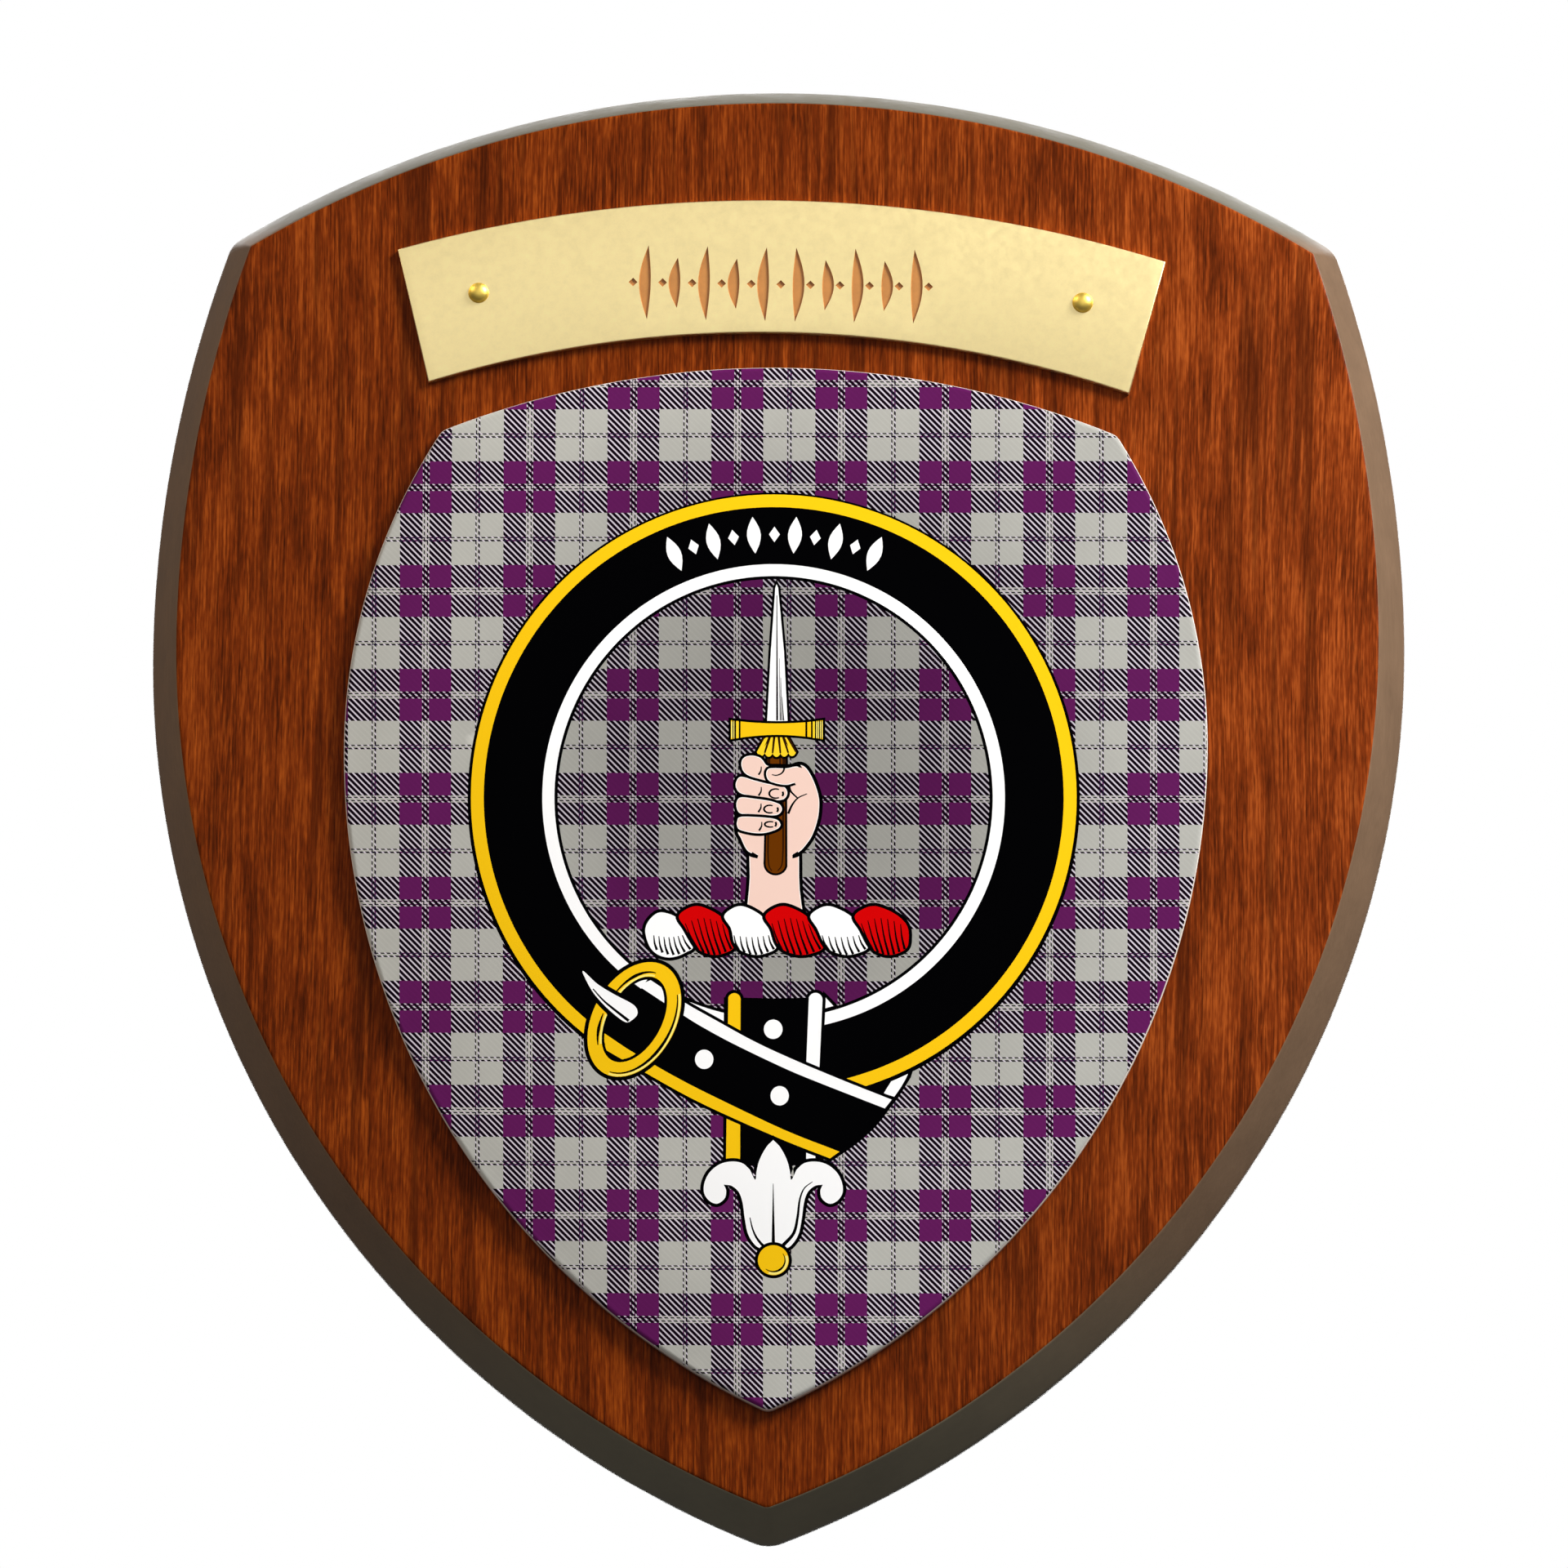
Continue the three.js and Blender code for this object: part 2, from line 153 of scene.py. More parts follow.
def shield_circles(shield, inset):
    """The circles of a shield's outline, each as x, z and radius, drawn in by the inset. The sides are two
    arcs that meet upright at the widest height, and the lower one touches the circle at the tip."""
    half = shield["width"] / 2
    tip = shield["tip_radius"]
    fall = shield["widest"] - shield["bottom"] - tip
    lower_radius = (half**2 + fall**2 - tip**2) / (2 * (half - tip))
    top = (0.0, shield["top"] - shield["top_radius"], shield["top_radius"] - inset)
    side = (half - shield["side_radius"], shield["widest"], shield["side_radius"] - inset)
    lower = (half - lower_radius, shield["widest"], lower_radius - inset)
    corner_radius = max(shield["corner_radius"] - inset, LEAST_RADIUS)
    tip_radius = max(tip - inset, LEAST_RADIUS)
    corner = (*fillet_centre(top, side, corner_radius), corner_radius)
    tip_fall = math.sqrt((lower[2] - tip_radius) ** 2 - lower[0] ** 2)
    return dict(top=top, side=side, lower=lower, corner=corner, tip=(0.0, lower[1] - tip_fall, tip_radius))


def fillet_centre(first, second, radius):
    """The centre of a small circle that touches two larger circles from inside, at the upper right: the
    point whose distances to their centres are their radii less its own."""
    a, b = first[2] - radius, second[2] - radius
    apart = np.array(second[:2]) - np.array(first[:2])
    distance = np.linalg.norm(apart)
    unit = apart / distance
    along = (a * a - b * b + distance * distance) / (2 * distance)
    across = math.sqrt(a * a - along * along)
    normal = np.array([unit[1], -unit[0]])
    return np.array(first[:2]) + unit * along + normal * across * math.copysign(1, normal.sum())


def arc(circle, start, end, steps):
    """Points on a circle from one angle to another, without the last one."""
    angles = start + (end - start) * np.arange(steps) / steps
    return np.stack([circle[0] + circle[2] * np.cos(angles), circle[1] + circle[2] * np.sin(angles)], 1)


def direction(circle, point):
    """The angle at which a point lies from a circle's centre."""
    return math.atan2(point[1] - circle[1], point[0] - circle[0])


def shield_outline(shield, inset):
    """A shield's outline, clockwise from the middle of its top: five arcs on the right, and their mirror
    image on the left."""
    c = shield_circles(shield, inset)
    top_end, side_start = direction(c["top"], c["corner"]), direction(c["side"], c["corner"])
    lower_end = direction(c["lower"], c["tip"])
    ends = dict(
        top=(math.pi / 2, top_end), corner=(top_end, side_start), side=(side_start, 0),
        lower=(0, lower_end), tip=(lower_end, -math.pi / 2),
    )
    arcs = [arc(c[name], start, end, ARC_STEPS[name]) for name, (start, end) in ends.items()]
    right = np.concatenate([*arcs, [[0.0, c["tip"][1] - c["tip"][2]]]])
    return np.concatenate([right, right[-2:0:-1] * [-1, 1]])


def depth_inside(circles, points):
    """How deep points lie inside a shield: one over the root of the summed squares of one over the
    distances to the top arc and to both sides, so that no crease runs in from a corner."""
    x, z = points[:, 0], points[:, 1]
    above = z > circles["side"][1]
    flank = [np.where(above, circles["side"][i], circles["lower"][i]) for i in range(3)]
    top = circles["top"]
    distances = np.stack([
        top[2] - np.hypot(x - top[0], z - top[1]),
        flank[2] - np.hypot(x - flank[0], z - flank[1]),
        flank[2] - np.hypot(-x - flank[0], z - flank[1]),
    ])
    return 1 / np.sqrt((1 / np.maximum(distances, 1e-6) ** 2).sum(0))


def dome_height(points):
    """The inner shield's height above the board's face: the edge's height, and a dome whose rise goes as
    s (2 - s) with the share s of the greatest depth inside the edges."""
    circles = shield_circles(SHIELD, SHIELD_EDGE_RADIUS)
    middle = np.linspace(SHIELD["bottom"] + 1, SHIELD["top"] - 1, 400)
    deepest = depth_inside(circles, np.stack([0 * middle, middle], 1)).max()
    share = np.minimum(depth_inside(circles, points) / deepest, 1)
    return SHIELD_EDGE_HEIGHT + SHIELD_DOME_RISE * share * (2 - share)


def rounded_profile(corners, softness, steps=5):
    """A profile through given corners, each inner corner replaced by a curve that starts and ends its
    softness away from it."""
    corners = np.array(corners, float)
    share = np.linspace(0, 1, steps)[:, None]
    parts = [corners[:1]]
    for before, corner, after, soft in zip(corners, corners[1:], corners[2:], softness):
        start = corner + (before - corner) * soft / np.linalg.norm(before - corner)
        end = corner + (after - corner) * soft / np.linalg.norm(after - corner)
        parts.append(start * (1 - share) ** 2 + 2 * corner * share * (1 - share) + end * share**2)
    return np.concatenate([*parts, corners[-1:]])


# Meshes

MERGE_DISTANCE = 1e-7  # in metres


def ring_quads(rings, count):
    """The quads between neighbouring rings of points, each ring closed round."""
    ring, step = np.meshgrid(np.arange(rings - 1), np.arange(count), indexing="ij")
    after = (step + 1) % count
    quads = [ring * count + step, ring * count + after, (ring + 1) * count + after, (ring + 1) * count + step]
    return np.stack([q.ravel() for q in quads], 1)


def skin(outlines, depths):
    """Vertices and quads of a skin carried through flat outlines, each at its own depth along Y."""
    count = len(outlines[0])
    flat = np.concatenate(outlines)
    y = np.repeat(depths, count)
    return np.stack([flat[:, 0], y, flat[:, 1]], 1), ring_quads(len(outlines), count)


def new_piece(name, parts, materials, sharp_angle=None):
    """One object from parts, each given as vertices in millimetres, faces and the index of its material.
    Vertices in one place are merged, and the normals are turned outwards."""
    vertices = np.concatenate([part[0] for part in parts]) * MM
    starts = np.cumsum([0] + [len(part[0]) for part in parts])
    faces = [(np.array(face) + start).tolist() for (_, part, _), start in zip(parts, starts) for face in part]
    kinds = np.repeat([part[2] for part in parts], [len(part[1]) for part in parts])
    mesh = bpy.data.meshes.new(name)
    mesh.from_pydata(vertices, [], faces)
    mesh.polygons.foreach_set("material_index", kinds)
    work = bmesh.new()
    work.from_mesh(mesh)
    bmesh.ops.remove_doubles(work, verts=work.verts, dist=MERGE_DISTANCE)
    bmesh.ops.dissolve_degenerate(work, dist=MERGE_DISTANCE / 10, edges=work.edges)
    bmesh.ops.recalc_face_normals(work, faces=work.faces)
    work.to_mesh(mesh)
    work.free()
    mesh.polygons.foreach_set("use_smooth", np.ones(len(mesh.polygons), bool))
    if sharp_angle:
        mesh.set_sharp_from_angle(angle=math.radians(sharp_angle))
    for material in materials:
        mesh.materials.append(material)
    piece = bpy.data.objects.new(name, mesh)
    bpy.context.scene.collection.objects.link(piece)
    return piece


def stands_for(piece, node_name):
    """The piece rides with the plaque and takes the place of a node of the frame."""
    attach(piece, "root")
    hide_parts(node_name)


def apply_modifiers(piece):
    """Bakes a piece's modifiers into its mesh."""
    graph = bpy.context.evaluated_depsgraph_get()
    final = bpy.data.meshes.new_from_object(piece.evaluated_get(graph))
    piece.modifiers.clear()
    piece.data = final


# Flat drawing

LINE = 0.65


def smooth_curve(points, closed=True, per_span=8):
    """A curve through given points, worked out as a Catmull-Rom spline: a cubic between each two points
    whose slopes come from their neighbours."""
    points = np.array(points, float)
    count = len(points)
    if closed:
        padded = points[np.arange(-1, count + 2) % count]
    else:
        padded = np.concatenate([2 * points[:1] - points[1:2], points, 2 * points[-1:] - points[-2:-1]])
    t = np.linspace(0, 1, per_span, endpoint=False)[:, None, None]
    a, b, c, d = padded[:-3], padded[1:-2], padded[2:-1], padded[3:]
    curve = 0.5 * (2 * b + (c - a) * t + (2 * a - 5 * b + 4 * c - d) * t**2 + (3 * b - a - 3 * c + d) * t**3)
    flat = curve.transpose(1, 0, 2).reshape(-1, 2)
    return flat if closed else np.concatenate([flat, points[-1:]])


def oval_arc(centre, half_long, half_short, turn, start, end, count=24):
    """A part of an ellipse, from one angle to another in degrees, counted from its long axis, which is
    itself turned by an angle in degrees."""
    angles = np.radians(np.linspace(start, end, count))
    x, z = half_long * np.cos(angles), half_short * np.sin(angles)
    c, s = math.cos(math.radians(turn)), math.sin(math.radians(turn))
    return np.stack([centre[0] + c * x - s * z, centre[1] + s * x + c * z], 1)


def ellipse(centre, half_long, half_short=None, turn=0.0, count=64):
    """A whole ellipse, or a circle when it has one radius."""
    return oval_arc(centre, half_long, half_short or half_long, turn, 0, 360, count + 1)[:-1]


def upright_box(left, right, top, bottom):
    """The corners of a rectangle."""
    return [(left, top), (right, top), (right, bottom), (left, bottom)]


def stroke(points, width, end_width):
    """A line drawn with a pen: the middle line moved to both sides by half the pen's width, which goes
    evenly from its first value to its last."""
    line = np.array(points, float)
    along = np.gradient(line, axis=0)
    normal = np.stack([-along[:, 1], along[:, 0]], 1) / np.linalg.norm(along, axis=1)[:, None]
    half = np.linspace(width, end_width, len(line))[:, None] / 2
    return np.concatenate([line + normal * half, (line - normal * half)[::-1]])


def rounded_bar(start, end, radius, end_radius):
    """A bar with round ends between two points, each end with its own radius."""
    angle = math.atan2(end[1] - start[1], end[0] - start[0])
    near = arc((*start, radius), angle + math.pi / 2, angle + 3 * math.pi / 2, 12)
    far = arc((*end, end_radius), angle - math.pi / 2, angle + math.pi / 2, 12)
    return np.concatenate([near, far])


def signed_area(loop):
    """The area inside a loop, positive when it runs anticlockwise."""
    x, z = loop[:, 0], loop[:, 1]
    return 0.5 * (x * np.roll(z, -1) - z * np.roll(x, -1)).sum()


def grown(loop, distance):
    """A loop moved outwards by a distance: each corner moves along the mean of its two edges' normals,
    further where the corner is sharp, up to twice the distance."""
    loop = np.asarray(loop, float)
    edge = np.roll(loop, -1, 0) - loop
    edge = edge / np.maximum(np.linalg.norm(edge, axis=1), 1e-9)[:, None]
    normal = np.stack([edge[:, 1], -edge[:, 0]], 1) * math.copysign(1, signed_area(loop))
    mean = normal + np.roll(normal, 1, 0)
    mean = mean / np.maximum(np.linalg.norm(mean, axis=1), 1e-9)[:, None]
    stretch = np.minimum(1 / np.maximum((mean * normal).sum(1), 0.5), 2)
    return loop + mean * stretch[:, None] * distance


class Drawing:
    """Flat shapes in the order that they are printed: each covers what lies under it."""

    def __init__(self):
        self.shapes = []

    def fill(self, loop, colour):
        self.shapes.append((np.asarray(loop, float), colour))

    def outlined(self, loop, colour, line=LINE):
        """A filled shape with a black line round it."""
        self.fill(grown(loop, line), BLACK)
        self.fill(loop, colour)

    def line(self, points, width, end_width=None, colour=BLACK, curved=True):
        path = smooth_curve(points, closed=False, per_span=5) if curved and len(points) > 2 else points
        self.fill(stroke(path, width, width if end_width is None else end_width), colour)


# Badge. Its places are measured from the middle of the strap's ring.
RING_RADIUS = 61.65
RING_HANG = 1.6
RING_OUTLINE_HANG = 1.85
RING_SQUARENESS = 0.8
RING_SHIFT = 0.15
RING_GOLD = 2.6  # widths of the coloured edges, and where the inner one starts
RING_WHITE = 2.45
RING_WHITE_START = 14.4
BAND_RADIUS = 52.6
BAND_REACH = math.radians(22.5)  # to each side of the top
BAND_STROKES = 6
BAND_STROKE_HEIGHT = 7.6
BAND_STROKE_WIDTH = 2.8
SKIN_MARGIN = 0.15


def ring_loop(inset, hang=RING_HANG, steps=220):
    """The strap's round, drawn in by the inset: nearly a circle, whose radius falls with the sine and the
    cosine of the angle and with the cosine of twice the angle, so that it hangs a little at its foot."""
    angles = np.arange(steps) * 2 * math.pi / steps
    radius = RING_RADIUS - inset - hang * np.sin(angles)
    radius = radius - RING_SQUARENESS * np.cos(2 * angles) - RING_SHIFT * np.cos(angles)
    return np.stack([radius * np.cos(angles), radius * np.sin(angles)], 1)


def draw_ring(drawing):
    """The strap's ring: a gold edge, the black leather and a white edge round a window on the tartan. The
    back of the fold at the lower right shows beyond it."""
    drawing.fill([(13.5, -59.0), (27.9, -57.8), (27.4, -59.4), (24.9, -63.5), (23.0, -66.0)], BLACK)
    drawing.fill([(26.9, -58.5), (26.3, -59.8), (25.4, -61.4), (24.1, -63.3), (22.0, -62.6), (22.7, -61.4),
                  (23.5, -60.1)], WHITE)
    white_end = RING_WHITE_START + RING_WHITE
    drawing.fill(ring_loop(-LINE, hang=RING_OUTLINE_HANG), BLACK)
    for inset, colour in [
        (0, GOLD), (RING_GOLD, BLACK), (RING_WHITE_START, WHITE), (white_end, BLACK),
        (white_end + LINE, TARTAN),
    ]:
        drawing.fill(ring_loop(inset), colour)


def leaf(height, width, bow=0.0, count=9):
    """An upright stroke, pointed at both ends: its half-width goes as the sine along its height, and its
    middle line bows sideways in the same way."""
    t = np.linspace(0, 1, count)
    swell = np.sin(math.pi * t)
    z = height * (t - 0.5)
    right = np.stack([(bow + width / 2) * swell, z], 1)
    left = np.stack([(bow - width / 2) * swell, z], 1)
    return np.concatenate([right, left[-2:0:-1]])


def lozenge(size, height=None):
    """A square on its corner, or a taller one, about the origin."""
    half, tall = size / 2, (height or size) / 2
    return np.array([[half, 0], [0, tall], [-half, 0], [0, -tall]])


def on_ring(loop, angle, radius):
    """Carries a shape to the ring: upright at its top, and turned clockwise by the angle about the middle."""
    raised = loop + [0, radius]
    c, s = math.cos(angle), math.sin(angle)
    return np.stack([c * raised[:, 0] + s * raised[:, 1], -s * raised[:, 0] + c * raised[:, 1]], 1)


def draw_ring_strokes(drawing):
    """Plain leaf strokes with lozenges between them, along the top of the ring."""
    angles = np.linspace(-BAND_REACH, BAND_REACH, 2 * BAND_STROKES - 1)
    for place, angle in enumerate(angles):
        shape = lozenge(2.2, 3.2) if place % 2 else leaf(BAND_STROKE_HEIGHT, BAND_STROKE_WIDTH)
        drawing.fill(on_ring(shape, angle, BAND_RADIUS), WHITE)


def draw_hanging_end(drawing):
    """The strap's end that hangs behind the crossing strap: black leather with a gold edge on the left, a
    white edge on the right, and an eyelet."""
    drawing.outlined([(10.35, -42.9), (11.9, -44.6), (10.2, -45.1)], WHITE, 0.75)
    drawing.fill([(-10.1, -42.8), (0, -43.05), (10.0, -42.8), (9.2, -77.5), (-10.3, -77.5)], BLACK)
    drawing.outlined(rounded_bar((-8.0, -43.2), (-8.25, -78.0), 1.25, 1.45), GOLD)
    drawing.outlined(rounded_bar((8.3, -43.3), (7.0, -76.0), 1.4, 1.3), WHITE)
    drawing.fill([(6.0, -60), (4.6, -80), (6.4, -80), (6.5, -60)], BLACK)
    drawing.fill(ellipse((-0.2, -49.4), 2.0, 1.88, 90, 28), WHITE)


def draw_crossing_strap(drawing):
    """The part of the strap that runs from the fold at the lower right up to the buckle."""
    edge = smooth_curve([(-24.8, -39.3), (-18, -43.9), (-12, -47.4), (-4, -51.9), (4, -55.7), (14, -60.0),
                         (23.6, -63.9)], closed=False)
    white_end = smooth_curve([(22.2, -65.7), (9, -60.4), (2, -57.4), (-8, -52.5), (-14.5, -48.9),
                              (-18.6, -46.3), (-27.4, -40.4)], closed=False)
    gold_start = smooth_curve([(-33.9, -50.4), (-28.6, -54.0), (-20, -59.1), (-12, -63.3), (2, -70.1),
                               (13.1, -74.6)], closed=False)
    foot = smooth_curve([(11.2, -76.0), (2, -72.3), (-10, -66.9), (-18, -62.9), (-26.7, -57.9),
                         (-34.0, -53.6)], closed=False)
    fold = smooth_curve([(23.6, -63.9), (22.0, -66.3), (19.6, -69.3), (16, -72.6), (11.2, -76.0)],
                        closed=False)
    body = np.concatenate([edge[:-1], fold[:-1], foot])
    drawing.fill(grown(body, LINE), BLACK)
    drawing.fill(np.concatenate([edge, white_end]), WHITE)
    drawing.fill(np.concatenate([gold_start, foot]), GOLD)
    for eyelet in [(-14.05, -55.6), (1.1, -63.1)]:
        drawing.fill(ellipse(eyelet, 2.0, 1.85, 90, 28), WHITE)


def hollow(outer, inner):
    """One loop that runs round an outer edge and then round an inner one, so that it encloses only what lies
    between them."""
    return np.concatenate([outer, outer[:1], inner, inner[:1]])


def draw_buckle(drawing):
    """An oval gold buckle, leaning to the right, with a white prong laid over it. The strap shows through
    its hole."""
    centre, lean = (-28.1, -47.4), 62
    edge, hole = (12.65, 8.3), (9.55, 5.5)
    drawing.fill(hollow(ellipse(centre, edge[0] + 0.8, edge[1] + 0.8, lean),
                        ellipse(centre, hole[0] - 0.6, hole[1] - 0.6, lean)), BLACK)
    drawing.fill(hollow(ellipse(centre, *edge, lean), ellipse(centre, *hole, lean)), GOLD)
    for inset, shine_inset, start, end in [(2.1, 2.75, 6, 78), (2.1, 2.75, 100, 140), (0.75, 0.3, -44, -175)]:
        shine = oval_arc(centre, edge[0] - shine_inset, edge[1] - shine_inset, lean, start, end)
        drawing.line(shine, 0.4, colour=PALE_GOLD, curved=False)
        shade = oval_arc(centre, edge[0] - inset, edge[1] - inset, lean, start, end)
        drawing.line(shade[:12], 0.2, 0.65, curved=False)
        drawing.line(shade[11:], 0.65, 0.2, curved=False)
    drawing.outlined(smooth_curve([
        (-38.5, -37.4), (-35.5, -40.1), (-32.0, -42.3), (-29.0, -43.9), (-27.7, -45.0), (-27.5, -46.4),
        (-28.8, -47.7), (-30.0, -47.9), (-32.2, -46.3), (-34.6, -44.0), (-36.8, -41.2),
    ]), WHITE, 0.85)
    drawing.line([(-36.4, -41.1), (-34.4, -43.4), (-32.2, -45.3), (-29.2, -47.7)], 0.25, 0.6)


def draw_tip(drawing):
    """The strap's metal tip: a tall petal between two that curl outwards, over a gold ball."""
    middle = -0.2
    ball = (middle, -97.0)
    half = [(0, -72.2), (1.4, -73.7), (2.7, -76.2), (3.3, -78.4), (3.62, -80.4), (4.7, -78.3), (6.2, -77.0),
            (8.4, -76.65), (10.7, -77.2), (12.7, -78.8), (13.8, -81.0), (13.9, -83.1), (12.9, -84.7),
            (11.3, -85.35), (9.8, -84.3), (9.45, -82.7), (9.95, -81.4), (8.3, -81.7), (6.9, -83.0),
            (6.15, -85.2), (5.75, -88.2), (5.2, -91.2), (4.2, -93.2), (2.7, -94.5), (0, -94.5)]
    right = cornered(half, corners=(0, 5, 16, 24))
    loop = np.concatenate([right, right[-2:0:-1] * [-1, 1]]) + [middle, 0]
    drawing.outlined(loop, WHITE, 0.7)
    drawing.line([(middle, -81.2), (middle, -94.3)], 0.12, 0.72, curved=False)
    drawing.line([(-4.9, -88.2), (-4.3, -90.7), (-3.4, -92.6), (-2.1, -94.2)], 0.2, 0.6)
    drawing.line([(7.7, -80.8), (6.0, -82.2), (5.1, -84.6), (4.7, -88.0), (3.9, -91.4), (1.7, -94.0)],
                 0.15, 0.75)
    for radius, colour in [(3.1 + LINE, BLACK), (3.1, GOLD)]:
        drawing.fill(ellipse(ball, radius, count=48), colour)
    drawing.line(oval_arc(ball, 2.75, 2.75, 0, 20, -110), 0.5, colour=PALE_GOLD, curved=False)
    drawing.line(oval_arc(ball, 2.35, 2.35, 0, 35, -60), 0.12, 0.45, curved=False)
    drawing.line(oval_arc(ball, 2.35, 2.35, 0, -58, -130), 0.45, 0.12, curved=False)


def cornered(points, corners):
    """A curve through given points that keeps sharp corners at the numbered ones."""
    spans = zip(corners, corners[1:])
    parts = [smooth_curve(points[start:end + 1], closed=False)[:-1] for start, end in spans]
    return np.concatenate([*parts, np.array(points[-1:], float)])


WREATH_TOP = -26.2
WREATH_BOTTOM = -32.5
WREATH_TOPS = [-10.2, -1.9, 7.1, 16.0]  # where neighbouring lobes meet, from the second lobe to the fifth
WREATH_FEET = [-8.2, 0.4, 9.8, 18.8]
WREATH_HATCHES = 7


def draw_wreath(drawing):
    """A twisted wreath of six lobes, white and red by turns, each leaning to the left and hatched."""
    tops, feet = [-19.3, *WREATH_TOPS, 25.6], [-16.3, *WREATH_FEET, 26.6]
    first = [(-25.9, -29.3), (-25.3, -27.2), (-23.5, -25.5), (-21.6, -25.5), (-19.4, -26.6), (-17.6, -29.4),
             (-16.3, -32.4), (-17.6, -33.5), (-19.6, -34.4), (-21.6, -34.6), (-23.6, -33.9), (-25.1, -32.2)]
    draw_lobe(drawing, smooth_curve(first), WHITE, (-25.8, -19.8), (-24.6, -16.4))
    for lobe in range(5):
        left, right, low_left, low_right = tops[lobe], tops[lobe + 1], feet[lobe], feet[lobe + 1]
        end = lobe == 4
        upper = [(left + share * (right - left), WREATH_TOP + rise)
                 for share, rise in [(0.2, 1.6), (0.45, 2.15), (0.78, 1.0)]]
        lower = [(low_left + share * (low_right - low_left), WREATH_BOTTOM - fall)
                 for share, fall in [(0.82, 1.1), (0.52, 1.6), (0.2, 0.8)]]
        loop = [
            (left + 0.15, WREATH_TOP), *upper, (right + 0.1, WREATH_TOP - 0.6), (right + 1.25, -28.6),
            (low_right - 0.5 + 0.9 * end, -31.0), (low_right, WREATH_BOTTOM - 0.1), *lower,
            (low_left + 0.2, -31.6), (left + 1.5, -28.6),
        ]
        colour = WHITE if lobe % 2 else RED
        draw_lobe(drawing, smooth_curve(loop), colour, (left, right), (low_left, low_right))


def draw_lobe(drawing, loop, colour, top, foot):
    """One lobe with hatching that runs down to its foot: from high up on red, and from the middle on
    white."""
    drawing.outlined(loop, colour, 0.68)
    for hatch in range(WREATH_HATCHES):
        share = (hatch + 0.75) / (WREATH_HATCHES + 0.3)
        swell = math.sin(math.pi * share)
        start = np.array([top[0] + share * (top[1] - top[0]) + 0.5, WREATH_TOP - 1.9 + 1.6 * swell])
        end = np.array([foot[0] + share * (foot[1] - foot[0]) + 0.2, WREATH_BOTTOM - 0.1 - 1.5 * swell])
        if colour is WHITE:
            start = start + (end - start) * (0.42 + 0.1 * swell)
        bend = (start + end) / 2 + [-0.15, -0.1]
        drawing.line([start, bend, end], 0.18, 0.54)


def draw_dagger(drawing):
    """A dagger held upright: a tapered blade, a waisted guard, a fluted collar and the top of the grip."""
    drawing.outlined([(0.75, 41.6), (0.45, 42.3), (0.2, 41.6), (-0.7, 28.3), (-1.45, 13.7), (2.7, 13.7),
                      (1.95, 28.3)], WHITE, 0.5)
    drawing.line([(0.5, 40.0), (0.58, 14.2)], 0.15, 0.4, curved=False)
    for x, top in [(1.2, 27.0), (1.55, 23.0), (1.9, 19.0)]:
        drawing.line([(0.6 + (x - 0.6) * 0.75, top), (x, 14.2)], 0.08, 0.24, curved=False)
    drawing.outlined(upright_box(-1.45, 2.35, 8.0, 4.0), DARK_BROWN, 0.4)
    for left, right in [(-0.8, 1.0), (1.35, 1.65)]:
        drawing.fill(upright_box(left, right, 8.0, 4.0), GRIP_BROWN)
    draw_collar(drawing)
    guard = cornered([(-8.7, 14.25), (-4.6, 13.8), (0.6, 13.6), (5.8, 13.8), (9.75, 14.25), (9.75, 10.35),
                      (5.8, 10.95), (0.6, 11.25), (-4.6, 10.95), (-8.7, 10.35)], corners=(0, 4, 5, 9))
    drawing.outlined(guard, GOLD, 0.5)
    for left, right, colour in [
        (-8.65, -8.0, PALE_GOLD), (-7.75, -7.1, BRIGHT_GOLD), (7.7, 8.2, BRIGHT_GOLD), (8.4, 9.7, PALE_GOLD),
    ]:
        drawing.fill(upright_box(left, right, 14.0, 10.6), colour)
    for x, width in [(-8.3, 0.22), (-7.85, 0.36), (-6.95, 0.36), (6.45, 0.4), (7.55, 0.36), (8.3, 0.28),
                     (8.75, 0.16), (9.1, 0.22), (9.45, 0.18)]:
        drawing.line([(x, 14.2), (x, 10.4)], width, curved=False)


COLLAR_TOP = (-1.7, 2.6, 11.0)  # its left, its right and its height, and the same for the hem
COLLAR_HEM = (-3.5, 4.4, 6.7)
COLLAR_FLUTES = 5
COLLAR_SCALLOP = 0.75
FLUTE_STEPS = 8


def draw_collar(drawing):
    """The dagger's collar: bright gold, wider at its scalloped hem. Each flute has a brown line on its left
    that tapers off above the hem, and one on its right that runs down to the hem."""
    (top_left, top_right, top), (hem_left, hem_right, bottom) = COLLAR_TOP, COLLAR_HEM
    u = np.linspace(0, 1, FLUTE_STEPS * COLLAR_FLUTES + 1)
    scallop = COLLAR_SCALLOP * (1 - np.abs(np.sin(math.pi * COLLAR_FLUTES * u)) ** 0.7) + (u - 0.5) ** 2
    hem = np.stack([hem_left + (hem_right - hem_left) * u, bottom + scallop], 1)
    drawing.outlined(np.concatenate([[(top_left, top)], hem, [(top_right, top)]]), BRIGHT_GOLD, 0.5)
    for left, right in zip(hem[:-1:FLUTE_STEPS], hem[FLUTE_STEPS::FLUTE_STEPS]):
        for foot, end_width in [(left + [0, 1.4], 0.05), (right, 0.36)]:
            share = (foot[0] - hem_left) / (hem_right - hem_left)
            head = (top_left + (top_right - top_left) * share, top)
            drawing.line([head, foot], 0.5, end_width, colour=DARK_BROWN, curved=False)


def draw_flesh(drawing, loop, line=0.58):
    """A part of the hand: skin with a pale margin inside its black line."""
    drawing.outlined(loop, PALE_SKIN, line)
    drawing.fill(grown(loop, -SKIN_MARGIN), SKIN)


